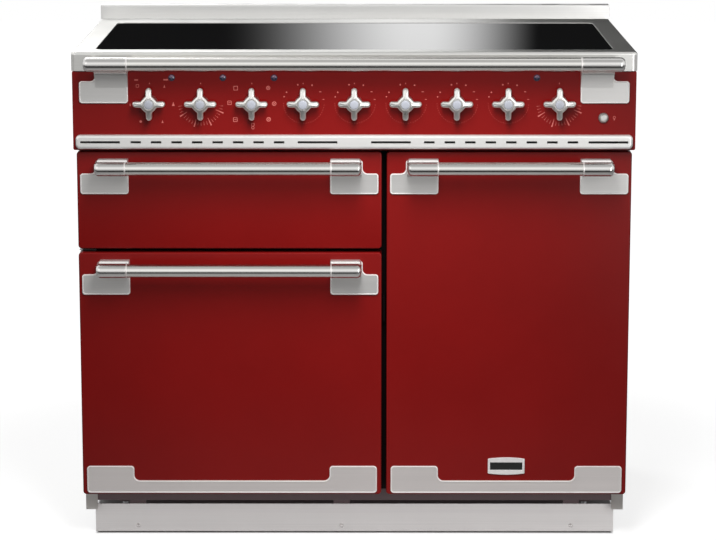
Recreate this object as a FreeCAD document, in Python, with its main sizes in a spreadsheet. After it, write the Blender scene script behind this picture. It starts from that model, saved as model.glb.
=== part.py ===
import FreeCAD, Part
import math
import os
import Sketcher

# Induction range cooker, one metre wide: a ceramic hob in a steel surround, a control panel with nine
# knobs, a grill compartment over a main oven on the left, and a tall oven on the right.
# x runs to the cooker's right as seen from the front, y to its back and z up. The origin is on the
# floor, in the middle of the cooker's width and of its whole depth, with the hob rail.
# All lengths are in millimetres.

SIZES = {
    # the cooker as a whole
    "body_width": 989,
    "hob_overhang": 5.5,
    "hob_depth": 594,
    "back_overhang": 6,
    "rail_reach": 54,
    # shared by all pieces
    "steel_gauge": 2,
    "seat_gap": 0.3,
    "cut_overrun": 5,
    "shaft_clearance": 0.1,
    "screw_radius": 4,
    # hob surround
    "hob_band": 34,
    "hob_corner": 9,
    "hob_edge_radius": 5,
    "ledge_width": 14,
    # ceramic glass
    "glass_side_margin": 40,
    "glass_front_margin": 38,
    "glass_back_margin": 71,
    "glass_thickness": 4,
    "glass_corner": 14,
    "glass_step": 0.8,
    "glass_clearance": 0.5,
    # rear upstand
    "upstand_height": 28,
    "upstand_depth": 23,
    "upstand_edge": 3,
    "upstand_slot_length": 62,
    "upstand_slot_width": 8,
    "upstand_slot_margin": 68,
    # induction coils, tray and power modules
    "coil_height": 10,
    "coil_bore": 22,
    "large_coil": 105,
    "medium_coil": 90,
    "small_coil": 72,
    "tray_inset": 14.5,
    "tray_back_gap": 29,
    "tray_drop": 59,
    "tray_corner": 10,
    "module_gap": 60,
    "module_end_gap": 100,
    "module_height": 46,
    "module_corner": 8,
    # hob rail
    "bar_radius": 12,
    "bar_tip_round": 8,
    "rail_drop": 17.5,
    "rail_end_margin": 26,
    "rail_collar_length": 74,
    "collar_step": 0.6,
    "rail_plate_margin": 14,
    "rail_plate_width": 86,
    "rail_plate_drop": 57,
    "rail_plate_height": 39,
    "rail_neck_width": 57.5,
    "rail_neck_bend": 60,
    # brackets of all handles
    "plate_thickness": 3,
    "plate_corner": 5,
    "plate_notch_radius": 9,
    # control panel
    "fascia_overhang": 4,
    "fascia_height": 141,
    "fascia_gap": 4.5,
    "fascia_setback": 2,
    "fascia_corner": 3,
    # vent trim
    "trim_inset": 1,
    "trim_height": 25.5,
    "trim_rise": 2.5,
    "trim_depth": 9,
    "trim_corner": 8,
    "trim_edge": 5,
    "vent_height": 4,
    "vent_rise": 15,
    "long_vent": 70,
    "inner_vent_start": 30,
    "vent_end_margin": 8.5,
    "short_vent": 18.5,
    "short_vent_lead": 33,
    "short_vent_tail": 27.9,
    # knobs
    "knob_end_margin": 136.5,
    "knob_drop": 57,
    "knob_height": 27,
    "knob_gap": 0.6,
    "knob_skirt_radius": 15,
    "knob_hub_radius": 12,
    "knob_cap_radius": 7.8,
    "knob_cap_rise": 2.5,
    "knob_arm_reach": 29,
    "knob_arm_half": 5.5,
    "knob_arm_depth": 13,
    "knob_flare": 14.5,
    "knob_edge": 2.8,
    "stem_radius": 4,
    "stem_length": 28,
    "stem_play": 1,
    # switches behind the panel
    "switch_side": 40,
    "switch_depth": 32,
    # indicator lamps and oven light button
    "lamp_radius": 4.5,
    "lamp_rise": 2,
    "lamp_body": 8,
    "lamp_drop": 12,
    "lamp_offset": 39.5,
    "button_inset": 57.7,
    "button_lift": 2,
    "bezel_radius": 9.25,
    "bezel_rise": 4,
    "button_radius": 6.2,
    "button_rise": 7,
    "button_travel": 3,
    "button_stem": 20,
    # doors
    "door_setback": 15,
    "door_thickness": 42,
    "door_gap": 4,
    "door_corner": 6,
    "door_edge": 2.5,
    "door_split": 53.5,
    "door_middle_gap": 9,
    "door_lift": 2.4,
    "oven_door_height": 449,
    "door_row_gap": 7.1,
    "grill_door_height": 176,
    "liner_rise": 3,
    "liner_corner": 14,
    "liner_lip": 14,
    # door handles
    "handle_margin": 6,
    "handle_plate_width": 86,
    "handle_plate_low": 76.5,
    "handle_plate_mid": 39.5,
    "handle_plate_top": 15,
    "handle_neck_width": 58,
    "handle_axis_drop": 24,
    "handle_standoff": 49,
    "handle_tip_inset": 36,
    "handle_collar_length": 52,
    "neck_height": 17,
    "neck_root": 12,
    # corner trims of the oven doors and the badge
    "foot_trim_rise": 3.6,
    "foot_trim_height": 50.5,
    "foot_trim_inset": 8,
    "foot_trim_band": 23,
    "foot_trim_thickness": 2.5,
    "foot_trim_radius": 6,
    "foot_trim_notch": 10,
    "badge_width": 66,
    "badge_height": 31,
    "badge_lift": 54.1,
    "badge_thickness": 3,
    "badge_corner": 5,
    "badge_rim": 4,
    "badge_recess": 0.8,
    # side, back and base
    "side_bottom": 52,
    "base_rise": 17,
    "side_return": 21.5,
    "base_height": 22,
    "back_slot_length": 70,
    "back_slot_height": 5,
    "back_slot_pitch": 14,
    "back_slot_drop": 231,
    "back_slot_spread": 190,
    "terminal_width": 150,
    "terminal_height": 90,
    "terminal_depth": 40,
    "terminal_level": 200,
    "terminal_inset": 164.5,
    "gland_radius": 11,
    # plinth, feet and rollers
    "plinth_inset": 15,
    "plinth_recess": 85,
    "plinth_lift": 3,
    "plinth_gap": 13,
    "plinth_return": 18,
    "plinth_screw_level": 14,
    "plinth_screw_inset": 78.5,
    "plinth_middle_screw": 24,
    "plinth_bracket_width": 30,
    "screw_head_height": 2.2,
    "foot_inset": 64.5,
    "foot_stem_radius": 5,
    "foot_pad_radius": 20,
    "foot_pad_height": 9,
    "foot_setback": 66,
    "boss_radius": 13,
    "boss_height": 24,
    "roller_radius": 22,
    "roller_width": 26,
    "roller_inset": 94.5,
    "roller_setback": 70,
    "axle_radius": 5,
    "fork_thickness": 3,
    "fork_depth": 34,
    # front frame and ovens
    "oven_side_margin": 46,
    "oven_end_margin": 42,
    "grill_end_margin": 30,
    "oven_back_gap": 123,
    "grill_back_gap": 163,
    "oven_corner": 18,
    "oven_flange": 14,
    "shelf_reach": 9,
    "shelf_thickness": 4,
    "shelf_pitch": 62,
    "shelf_start": 70,
    "shelf_front": 30,
    "grill_shelf_start": 24,
    "seal_width": 9,
    "catch_width": 5,
    "catch_height": 49,
    "catch_reach": 16,
    "catch_drop": 133.4,
    # fans, elements, racks and pan
    "fan_radius": 75,
    "fan_blade_depth": 22,
    "fan_blade_length": 24,
    "fan_blade_thickness": 1.5,
    "fan_hub_radius": 14,
    "fan_shaft_radius": 4,
    "fan_gap": 6,
    "fan_cover_side": 230,
    "fan_cover_depth": 42,
    "fan_cover_corner": 30,
    "fan_cover_slot": 10,
    "motor_radius": 34,
    "motor_length": 50,
    "element_radius": 3.3,
    "ring_radius": 95,
    "grill_loop": 46,
    "grill_element_drop": 20,
    "grill_element_inset": 50,
    "wire_radius": 2.2,
    "rack_rim_radius": 3,
    "rack_side_radius": 2.7,
    "rack_pitch": 36,
    "pan_depth": 30,
    "pan_corner": 20,
    "pan_back_gap": 4,
    # hinges
    "hinge_inset": 9,
    "hinge_depth": 13,
    "hinge_pin_radius": 4,
    "hinge_pin_length": 12,
    "hinge_leaf": 2.4,
    "hinge_leaf_width": 30,
    "hinge_leaf_gap": 0.5,
    "grill_hinge_rise": 8,
    "grill_hinge_inset": 40,
    "grill_arm": 6,
    "grill_arm_half": 5,
    "grill_arm_play": 1,
    "grill_pin_length": 14,
    "cheek_thickness": 3,
}

KNOBS = 9
MODULES = 3
SHORT_VENTS = 8
UPSTAND_SLOTS = 10
BACK_SLOTS = 6
FAN_BLADES = 12
COVER_SLOTS = 12
GRILL_LOOPS = 4
LAMP_KNOBS = ((0, 1), (1, 1), (2, 1), (8, -1))  # which knob a lamp stands by, and on which side
# coil centres as shares of the glass's half width and half depth, and which size each coil has
COIL_SHARES = (
    (-0.72, -0.44, "medium_coil"),
    (-0.72, 0.46, "small_coil"),
    (0, 0.08, "large_coil"),
    (0.72, -0.46, "small_coil"),
    (0.72, 0.44, "medium_coil"),
)

vector = FreeCAD.Vector
doc = FreeCAD.newDocument("range_cooker")
sheet = doc.addObject("Spreadsheet::Sheet", "sizes")
sub_parts = []


# Sizes and the expressions that bind them


class Size:
    # a length that keeps both its number and the sheet expression that gives it
    def __init__(self, number, text):
        self.number = number
        self.text = text

    def __add__(self, other):
        return joined(self, "+", other)

    def __radd__(self, other):
        return joined(other, "+", self)

    def __sub__(self, other):
        return joined(self, "-", other)

    def __rsub__(self, other):
        return joined(other, "-", self)

    def __mul__(self, other):
        return joined(self, "*", other)

    def __rmul__(self, other):
        return joined(other, "*", self)

    def __truediv__(self, other):
        return joined(self, "/", other)

    def __neg__(self):
        return Size(-self.number, "(0 - %s)" % self.text)


class Sizes:
    # gives each named cell of the sheet as a Size
    def __getattr__(self, name):
        return Size(float(SIZES[name]), "sizes." + name)


size = Sizes()


def sized(value):
    return value if isinstance(value, Size) else Size(float(value), "(%.9g)" % value)


def joined(first, sign, second):
    first = sized(first)
    second = sized(second)
    a = first.number
    b = second.number
    number = {"+": a + b, "-": a - b, "*": a * b, "/": a / b if b else a}[sign]
    return Size(number, "(%s %s %s)" % (first.text, sign, second.text))


def bind(thing, path, value):
    thing.setExpression(path, sized(value).text)


def fill_sheet():
    for row, (name, value) in enumerate(SIZES.items(), 1):
        sheet.set("A%d" % row, name)
        sheet.set("B%d" % row, str(value))
        sheet.setAlias("B%d" % row, name)
    doc.recompute()


# Shapes made by primitives


def place(piece, x, y, z):
    for axis, value in zip("xyz", (x, y, z)):
        bind(piece, "Placement.Base." + axis, value)


def block(name, x, y, z):
    # a box between the low and high value of each pair
    piece = doc.addObject("Part::Box", name)
    for side, (low, high) in zip(("Length", "Width", "Height"), (x, y, z)):
        bind(piece, side, high - low)
    place(piece, x[0], y[0], z[0])
    return piece


def rod(name, axis, start, radius, length):
    # a cylinder from its start along an axis
    piece = doc.addObject("Part::Cylinder", name)
    along = {"x": vector(1, 0, 0), "y": vector(0, 1, 0), "z": vector(0, 0, 1)}[axis]
    piece.Placement = FreeCAD.Placement(vector(), FreeCAD.Rotation(vector(0, 0, 1), along))
    bind(piece, "Radius", radius)
    bind(piece, "Height", length)
    place(piece, *start)
    return piece


def fuse(name, pieces):
    piece = doc.addObject("Part::MultiFuse", name)
    piece.Shapes = pieces
    piece.Refine = True
    return piece


def cut(name, base, tools):
    piece = doc.addObject("Part::Cut", name)
    piece.Base = base
    piece.Tool = tools[0] if len(tools) == 1 else fuse(name + "_cuts", tools)
    return piece


def group(name, pieces):
    piece = doc.addObject("Part::Compound", name)
    piece.Links = pieces
    return piece


def mirrored(name, piece):
    # the same piece on the other side of the cooker's middle plane
    twin = doc.addObject("Part::Mirroring", name)
    twin.Source = piece
    twin.Normal = vector(1, 0, 0)
    return twin


def sub_part(name, piece):
    piece.Label = name
    sub_parts.append(piece)
    return piece


# Sketches and the features made from them


def rectangle(u, v, radius=0):
    low_u, high_u = u
    low_v, high_v = v
    corners = [(low_u, low_v), (high_u, low_v), (high_u, high_v), (low_u, high_v)]
    return [(a, b, radius) if radius else (a, b) for a, b in corners]


def circle(u, v, radius):
    return ("circle", u, v, radius)


def bend(u, v, radius, turn):
    # a corner that an arc reaches from the corner before it, turning left (1) or right (-1)
    return ("bend", u, v, radius, turn)


def half_round(u, v):
    # a corner that a half circle reaches from the corner before it, turning left
    return ("half", u, v)


def rounded_corner(before, corner, after):
    # the two tangent points and the centre of a square corner's arc
    u, v, radius = corner
    steps = []
    for start, end in ((before, corner), (corner, after)):
        du = plain(end)[0].number - plain(start)[0].number
        dv = plain(end)[1].number - plain(start)[1].number
        steps.append((math.copysign(1, du), 0) if abs(du) > abs(dv) else (0, math.copysign(1, dv)))
    (in_u, in_v), (out_u, out_v) = steps
    first = moved(u, v, radius, -in_u, -in_v)
    last = moved(u, v, radius, out_u, out_v)
    centre = moved(first[0], first[1], radius, out_u, out_v)
    return first, last, centre, in_u * out_v - in_v * out_u


def moved(u, v, radius, du, dv):
    return (
        u + radius if du > 0 else u - radius if du < 0 else u,
        v + radius if dv > 0 else v - radius if dv < 0 else v,
    )


def plain(corner):
    # the place of a corner of any kind
    u, v = corner[1:3] if isinstance(corner[0], str) else corner[:2]
    return sized(u), sized(v)


def segments_of(outline):
    # lines and arcs, each as its start, end and, for an arc, its turn, centre and radius
    count = len(outline)
    found = []
    starts = []
    for k, corner in enumerate(outline):
        if len(corner) == 3 and not isinstance(corner[0], str):
            before = outline[k - 1]
            after = outline[(k + 1) % count]
            starts.append(rounded_corner(before, corner, after))
        else:
            starts.append((plain(corner), plain(corner), None, 0))
    for k, corner in enumerate(outline):
        first, last, centre, turn = starts[k]
        previous = starts[k - 1][1]
        if corner[0] == "bend":
            found.append((previous, first, "bend", corner[4], sized(corner[3])))
        elif corner[0] == "half":
            middle = ((previous[0] + first[0]) / 2, (previous[1] + first[1]) / 2)
            found.append((previous, first, "centre", 1, middle))
        elif distance(previous, first) > 1e-7:
            found.append((previous, first, "line", 0, None))
        if centre:
            found.append((first, last, "centre", turn, centre))
    return found


def distance(a, b):
    a = [sized(n).number for n in a]
    b = [sized(n).number for n in b]
    return math.hypot(b[0] - a[0], b[1] - a[1])


def arc_centre(start, end, turn, radius):
    (u0, v0), (u1, v1) = start, end
    length = math.hypot(u1 - u0, v1 - v0)
    rise = math.sqrt(max(radius * radius - length * length / 4, 0)) * turn
    return (u0 + u1) / 2 - (v1 - v0) / length * rise, (v0 + v1) / 2 + (u1 - u0) / length * rise


def add_outline(sketch, outline):
    # draws one closed outline and binds every corner of it to its sizes
    bound = []
    first_one = sketch.GeometryCount
    if outline[0] == "circle":
        _, u, v, radius = outline
        u = sized(u)
        v = sized(v)
        radius = sized(radius)
        ring = Part.Circle(vector(u.number, v.number, 0), vector(0, 0, 1), radius.number)
        index = sketch.addGeometry(ring)
        bound.append((Sketcher.Constraint("DistanceX", -1, 1, index, 3, u.number), u))
        bound.append((Sketcher.Constraint("DistanceY", -1, 1, index, 3, v.number), v))
        bound.append((Sketcher.Constraint("Radius", index, radius.number), radius))
        add_constraints(sketch, bound)
        return
    found = segments_of(outline)
    ends = []
    for k, (start, end, kind, turn, extra) in enumerate(found):
        a = [sized(n).number for n in start]
        b = [sized(n).number for n in end]
        index = first_one + k
        if kind == "line":
            sketch.addGeometry(Part.LineSegment(vector(*a, 0), vector(*b, 0)))
            ends.append((1, 2))
            continue
        if kind == "centre":
            centre = [sized(n).number for n in extra]
        else:
            centre = arc_centre(a, b, turn, extra.number)
        radius = math.hypot(a[0] - centre[0], a[1] - centre[1])
        angles = [math.atan2(p[1] - centre[1], p[0] - centre[0]) for p in (a, b)]
        ring = Part.Circle(vector(*centre, 0), vector(0, 0, 1), radius)
        low, high = angles if turn > 0 else angles[::-1]
        high = high if high > low else high + 2 * math.pi
        sketch.addGeometry(Part.ArcOfCircle(ring, low, high))
        ends.append((1, 2) if turn > 0 else (2, 1))
        if kind == "centre":
            across = abs(b[0] - a[0]) < abs(b[1] - a[1])
            name = "DistanceX" if across else "DistanceY"
            value = sized(extra[0] if across else extra[1])
            bound.append((Sketcher.Constraint(name, -1, 1, index, 3, value.number), value))
        else:
            bound.append((Sketcher.Constraint("Radius", index, extra.number), extra))
    count = len(found)
    for k in range(count):
        after = (k + 1) % count
        here, there = first_one + k, first_one + after
        meeting = Sketcher.Constraint("Coincident", here, ends[k][1], there, ends[after][0])
        bound.append((meeting, None))
        for name, value in zip(("DistanceX", "DistanceY"), found[k][0]):
            value = sized(value)
            bound.append((Sketcher.Constraint(name, -1, 1, here, ends[k][0], value.number), value))
    add_constraints(sketch, bound)


def add_constraints(sketch, bound):
    first = sketch.ConstraintCount
    sketch.addConstraint([constraint for constraint, _ in bound])
    for k, (_, value) in enumerate(bound):
        if value is not None and "sizes." in value.text:
            sketch.setExpression("Constraints[%d]" % (first + k), value.text)


def new_body(name):
    return doc.addObject("PartDesign::Body", name)


def sketch_on(body, plane, level, outlines):
    sketch = body.newObject("Sketcher::SketchObject", body.Name + "_outline")
    support = [face for face in body.Origin.OriginFeatures if face.Role == plane + "_Plane"]
    sketch.AttachmentSupport = (support[0], "")
    sketch.MapMode = "FlatFace"
    bind(sketch, "AttachmentOffset.Base.z", level)
    for outline in outlines:
        add_outline(sketch, outline)
    return sketch


def pad(body, plane, span, *outlines):
    # material between the two levels of the span; the XZ plane looks towards the front
    low, high = span
    sketch = sketch_on(body, plane, -sized(high) if plane == "XZ" else low, outlines)
    return extruded(body, "PartDesign::Pad", sketch, high - low)


def pocket(body, plane, span, *outlines):
    low, high = span
    sketch = sketch_on(body, plane, -sized(low) if plane == "XZ" else high, outlines)
    return extruded(body, "PartDesign::Pocket", sketch, high - low)


def extruded(body, kind, sketch, length):
    feature = body.newObject(kind, body.Name + "_step")
    feature.Profile = sketch
    bind(feature, "Length", length)
    sketch.Visibility = False
    body.Tip = feature
    return feature


def turned(body, plane, outline):
    # a solid of revolution about the upright axis of its sketch
    sketch = sketch_on(body, plane, 0, [outline])
    feature = body.newObject("PartDesign::Revolution", body.Name + "_turn")
    feature.Profile = sketch
    feature.ReferenceAxis = (sketch, ["V_Axis"])
    feature.Angle = 360
    body.Tip = feature
    return feature


def row_of(body, feature, count, pitch, axis="H_Axis"):
    pattern = body.newObject("PartDesign::LinearPattern", body.Name + "_row")
    pattern.Originals = [feature]
    pattern.Direction = (feature.Profile[0], [axis])
    pattern.Occurrences = count
    bind(pattern, "Length", pitch * (count - 1))
    body.Tip = pattern
    return pattern


def ring_of(body, feature, count):
    pattern = body.newObject("PartDesign::PolarPattern", body.Name + "_ring")
    pattern.Originals = [feature]
    pattern.Axis = (feature.Profile[0], ["N_Axis"])
    pattern.Angle = 360
    pattern.Occurrences = count
    body.Tip = pattern
    return pattern


def round_edges(body, radius, wanted):
    # rounds the edges of the body so far that the test picks
    doc.recompute()
    base = body.Tip
    names = ["Edge%d" % (k + 1) for k, edge in enumerate(base.Shape.Edges) if wanted(edge)]
    feature = body.newObject("PartDesign::Fillet", body.Name + "_round")
    feature.Base = (base, names)
    bind(feature, "Radius", radius)
    body.Tip = feature
    return feature


def lies_at(axis, level):
    # a test for edges that lie wholly at one level of an axis
    place_of = {"x": 0, "y": 1, "z": 2}[axis]
    value = sized(level).number

    def test(edge):
        ends = [edge.BoundBox.XMin, edge.BoundBox.YMin, edge.BoundBox.ZMin]
        tops = [edge.BoundBox.XMax, edge.BoundBox.YMax, edge.BoundBox.ZMax]
        return abs(ends[place_of] - value) < 1e-4 and abs(tops[place_of] - value) < 1e-4

    return test


# Places that the pieces share, worked out from the sizes

fill_sheet()
half_depth = (size.hob_depth + size.rail_reach) / 2
rail_y = size.bar_radius + size.collar_step - half_depth
hob_front = size.rail_reach - half_depth
back = half_depth
body_back = back - size.back_overhang
fascia_front = hob_front + size.fascia_setback
door_front = hob_front + size.door_setback
door_back = door_front + size.door_thickness
frame_front = door_back + size.door_gap
frame_face = frame_front + size.steel_gauge
frame_back = frame_face + size.steel_gauge
oven_depth = body_back - size.oven_back_gap - frame_back
grill_depth = body_back - size.grill_back_gap - frame_back
glass_y = (hob_front + size.glass_front_margin, back - size.upstand_depth - size.glass_back_margin)
tray_y = (frame_back, back - size.tray_back_gap)

body_half = size.body_width / 2
inner_half = body_half - size.steel_gauge
hob_half = body_half + size.hob_overhang
glass_half = hob_half - size.glass_side_margin
tray_half = body_half - size.tray_inset
fascia_half = body_half + size.fascia_overhang
trim_half = body_half - size.trim_inset
plinth_half = body_half - size.plinth_inset
foot_place = body_half - size.foot_inset
roller_place = body_half - size.roller_inset
left_door_x = (-body_half, size.door_split - size.door_middle_gap / 2)
right_door_x = (size.door_split + size.door_middle_gap / 2, body_half)
right_middle = (right_door_x[0] + right_door_x[1]) / 2
handle_y = door_front - size.handle_standoff

base_low = size.side_bottom + size.base_rise
base_top = base_low + size.base_height
door_bottom = base_top + size.door_lift
left_door_z = (door_bottom, door_bottom + size.oven_door_height)
grill_door_low = left_door_z[1] + size.door_row_gap
grill_door_z = (grill_door_low, grill_door_low + size.grill_door_height)
right_door_z = (door_bottom, grill_door_z[1])
fascia_bottom = right_door_z[1] + size.fascia_gap
trim_low = fascia_bottom + size.trim_rise
vent_level = fascia_bottom + size.vent_rise
hob_under = fascia_bottom + size.fascia_height
hob_top = hob_under + size.hob_band
hob_plate = size.glass_thickness + size.glass_step + size.steel_gauge
glass_top = hob_top - size.glass_step
glass_under = glass_top - size.glass_thickness
tray_bottom = hob_under - size.tray_drop
rail_level = hob_top - size.rail_drop
rail_plate_low = hob_under - size.rail_plate_drop
knob_level = hob_under - size.knob_drop
lamp_level = hob_under - size.lamp_drop
button_place = fascia_half - size.button_inset
button_level = (trim_low + size.trim_height + rail_plate_low) / 2 + size.button_lift


def inset(span, amount):
    return (span[0] + amount, span[1] - amount)


def inside_of(x, z, side, end):
    # the clear opening that a door leaves with its margins
    return inset(x, side), inset(z, end)


left_hole = inside_of(left_door_x, left_door_z, size.oven_side_margin, size.oven_end_margin)
right_hole = inside_of(right_door_x, right_door_z, size.oven_side_margin, size.oven_end_margin)
grill_hole = inside_of(left_door_x, grill_door_z, size.oven_side_margin, size.grill_end_margin)


# Hob


def make_hob_surround():
    body = new_body("hob_surround")
    low_y = hob_front
    outline = [
        (-hob_half, low_y, size.hob_corner),
        (hob_half, low_y, size.hob_corner),
        (hob_half, back),
        (-hob_half, back),
    ]
    pad(body, "XY", (hob_under, hob_top), outline)
    top = lies_at("z", hob_top)

    def outer_top(edge):
        return top(edge) and edge.BoundBox.YMin < back.number - 1e-4

    round_edges(body, size.hob_edge_radius, outer_top)
    under = (hob_under - size.cut_overrun, hob_top - hob_plate)
    hollow_x = (size.steel_gauge - hob_half, hob_half - size.steel_gauge)
    hollow_y = (hob_front + size.steel_gauge, back - size.steel_gauge)
    pocket(body, "XY", under, rectangle(hollow_x, hollow_y, size.hob_corner - size.steel_gauge))
    half = glass_half + size.glass_clearance
    recess_y = (glass_y[0] - size.glass_clearance, glass_y[1] + size.glass_clearance)
    recess = rectangle((-half, half), recess_y, size.glass_corner + size.glass_clearance)
    pocket(body, "XY", (glass_under, hob_top + size.cut_overrun), recess)
    through_x = (size.ledge_width - half, half - size.ledge_width)
    through = rectangle(through_x, inset(recess_y, size.ledge_width), size.glass_corner)
    pocket(body, "XY", (under[0], hob_top), through)
    slot_x = hob_half - size.upstand_slot_margin
    middle = back - size.upstand_depth / 2
    slot_y = (middle - size.upstand_slot_width / 2, middle + size.upstand_slot_width / 2)
    pocket(body, "XY", (under[0], hob_top + size.cut_overrun), rectangle((-slot_x, slot_x), slot_y))
    return sub_part("hob_surround", body)


def make_ceramic_glass():
    body = new_body("ceramic_glass")
    outline = rectangle((-glass_half, glass_half), glass_y, size.glass_corner)
    pad(body, "XY", (glass_under, glass_top), outline)
    return sub_part("ceramic_glass", body)


def make_rear_upstand():
    body = new_body("rear_upstand")
    y = (back - size.upstand_depth, back)
    top = hob_top + size.upstand_height
    pad(body, "XY", (hob_top, top), rectangle((-hob_half, hob_half), y))
    round_edges(body, size.upstand_edge, lies_at("z", top))
    gauge = size.steel_gauge
    inside = rectangle((gauge - hob_half, hob_half - gauge), inset(y, gauge))
    pocket(body, "XY", (hob_top - size.cut_overrun, top - gauge), inside)
    reach = hob_half - size.upstand_slot_margin
    slot_x = (-reach - size.upstand_slot_length / 2, size.upstand_slot_length / 2 - reach)
    middle = back - size.upstand_depth / 2
    slot_y = (middle - size.upstand_slot_width / 2, middle + size.upstand_slot_width / 2)
    slot = pocket(body, "XY", (hob_top, top + size.cut_overrun), rectangle(slot_x, slot_y))
    row_of(body, slot, UPSTAND_SLOTS, 2 * reach / (UPSTAND_SLOTS - 1))
    return sub_part("rear_upstand", body)


def make_induction_coils():
    coils = []
    top = glass_under - size.seat_gap
    middle_y = (glass_y[0] + glass_y[1]) / 2
    for across, along, radius in COIL_SHARES:
        x = glass_half * across
        y = middle_y + (glass_y[1] - glass_y[0]) / 2 * along
        start = (x, y, top - size.coil_height)
        disc = rod("coil_disc", "z", start, getattr(size, radius), size.coil_height)
        low = (x, y, start[2] - size.cut_overrun)
        bore = rod("coil_bore", "z", low, size.coil_bore, size.coil_height + 2 * size.cut_overrun)
        coils.append(cut("coil", disc, [bore]))
    return sub_part("induction_coils", group("induction_coils", coils))


def make_hob_tray():
    body = new_body("hob_tray")
    x = (-tray_half, tray_half)
    top = hob_top - hob_plate
    pad(body, "XY", (tray_bottom, top), rectangle(x, tray_y, size.tray_corner))
    gauge = size.steel_gauge
    inside = rectangle(inset(x, gauge), inset(tray_y, gauge), size.tray_corner - gauge)
    pocket(body, "XY", (tray_bottom + size.steel_gauge, top + size.cut_overrun), inside)
    return sub_part("hob_tray", body)


def make_hob_generators():
    modules = []
    floor = tray_bottom + size.steel_gauge
    y = inset(tray_y, size.module_end_gap)
    width = (2 * tray_half - (MODULES + 1) * size.module_gap) / MODULES
    for k in range(MODULES):
        body = new_body("hob_generator")
        start = (k + 1) * size.module_gap + k * width - tray_half
        x = (start, start + width)
        pad(body, "XY", (floor, floor + size.module_height), rectangle(x, y, size.module_corner))
        modules.append(body)
    return sub_part("hob_generators", group("hob_generators", modules))


# Handles: a bar between two collars, each on a bracket with a stepped plate


def make_bar(name, x, y, z):
    return sub_part(name, rod(name, "x", (x[0], y, z), size.bar_radius, x[1] - x[0]))


def make_collar(name, x, y, z, tip_side):
    # the sleeve at the end of a bar, rounded at its free end
    length = x[1] - x[0]
    radius = size.bar_radius + size.collar_step
    body = new_body(name)
    outline = [(0, 0), (radius, 0), (radius, length, size.bar_tip_round), (0, length)]
    turned(body, "XZ", outline)
    turn = vector(0, tip_side, 0)
    body.Placement = FreeCAD.Placement(vector(), FreeCAD.Rotation(turn, 90))
    place(body, x[0] if tip_side > 0 else x[1], y, z)
    return body


def make_stepped_plate(body, x, z, neck_width, notch_z, surface, side):
    # the bracket's plate: low and wide at its outer side, tall and narrow at its inner side
    outer, inner = x if side < 0 else (x[1], x[0])
    step = inner - neck_width if side < 0 else inner + neck_width
    outline = [
        (outer, z[0], size.plate_corner),
        (inner, z[0], size.plate_corner),
        (inner, z[1], size.plate_corner),
        (step, z[1], size.plate_corner),
        (step, notch_z, size.plate_notch_radius),
        (outer, notch_z, size.plate_corner),
    ]
    pad(body, "XZ", (surface - size.plate_thickness, surface), outline)


def make_door_bracket(name, door_x, door_z, side):
    top = door_z[1]
    if side < 0:
        outer = door_x[0] + size.handle_margin
        x = (outer, outer + size.handle_plate_width)
        collar_low = door_x[0] + size.handle_tip_inset
        collar_x = (collar_low, collar_low + size.handle_collar_length)
    else:
        outer = door_x[1] - size.handle_margin
        x = (outer - size.handle_plate_width, outer)
        collar_high = door_x[1] - size.handle_tip_inset
        collar_x = (collar_high - size.handle_collar_length, collar_high)
    body = new_body(name + "_plate")
    z = (top - size.handle_plate_low, top - size.handle_plate_top)
    make_stepped_plate(body, x, z, size.handle_neck_width, top - size.handle_plate_mid, door_front, side)
    axis_z = top - size.handle_axis_drop
    surface = door_front - size.plate_thickness
    half = size.neck_height / 2
    neck = [
        (surface, axis_z + half),
        (handle_y, axis_z + half),
        (handle_y, axis_z - half),
        (surface, axis_z - half - size.neck_root),
    ]
    pad(body, "YZ", collar_x, [neck[0], neck[1], neck[2], neck[3]])
    collar = make_collar(name + "_collar", collar_x, handle_y, axis_z, side)
    return fuse(name + "_side", [body, collar]), collar_x


def make_door_handle(name, door_x, door_z):
    left, left_x = make_door_bracket(name, door_x, door_z, -1)
    right, right_x = make_door_bracket(name, door_x, door_z, 1)
    sub_part(name + "_brackets", group(name + "_brackets", [left, right]))
    make_bar(name + "_handle", (left_x[1], right_x[0]), handle_y, door_z[1] - size.handle_axis_drop)


def make_hob_rail():
    z = rail_level
    tip = hob_half - size.rail_end_margin
    joint = tip - size.rail_collar_length
    make_bar("hob_rail", (-joint, joint), rail_y, z)
    body = new_body("hob_rail_plate")
    outer = hob_half - size.rail_plate_margin
    x = (outer - size.rail_plate_width, outer)
    plate_z = (rail_plate_low, hob_under - size.seat_gap)
    notch = rail_plate_low + size.rail_plate_height
    make_stepped_plate(body, x, plate_z, size.rail_neck_width, notch, fascia_front, 1)
    surface = fascia_front - size.plate_thickness
    neck_x = (x[0], x[0] + size.rail_neck_width)
    outline = [
        (surface, notch - size.neck_root),
        (surface, plate_z[1]),
        (rail_y + size.bar_radius, z + size.neck_root / 2),
        (rail_y, z + size.neck_root / 2),
        (rail_y, z - size.neck_root / 2),
    ]
    outline[0] = bend(surface, notch - size.neck_root, size.rail_neck_bend, -1)
    pad(body, "YZ", neck_x, outline)
    collar = make_collar("hob_rail_collar", (joint, tip), rail_y, z, 1)
    right = fuse("hob_rail_side", [body, collar])
    left = mirrored("hob_rail_far_side", right)
    sub_part("hob_rail_brackets", group("hob_rail_brackets", [left, right]))


# Control panel


def knob_places():
    reach = fascia_half - size.knob_end_margin
    return [2 * reach / (KNOBS - 1) * (k - (KNOBS - 1) / 2) for k in range(KNOBS)]


def lamp_places():
    places = knob_places()
    return [places[k] + size.lamp_offset * side for k, side in LAMP_KNOBS]


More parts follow.
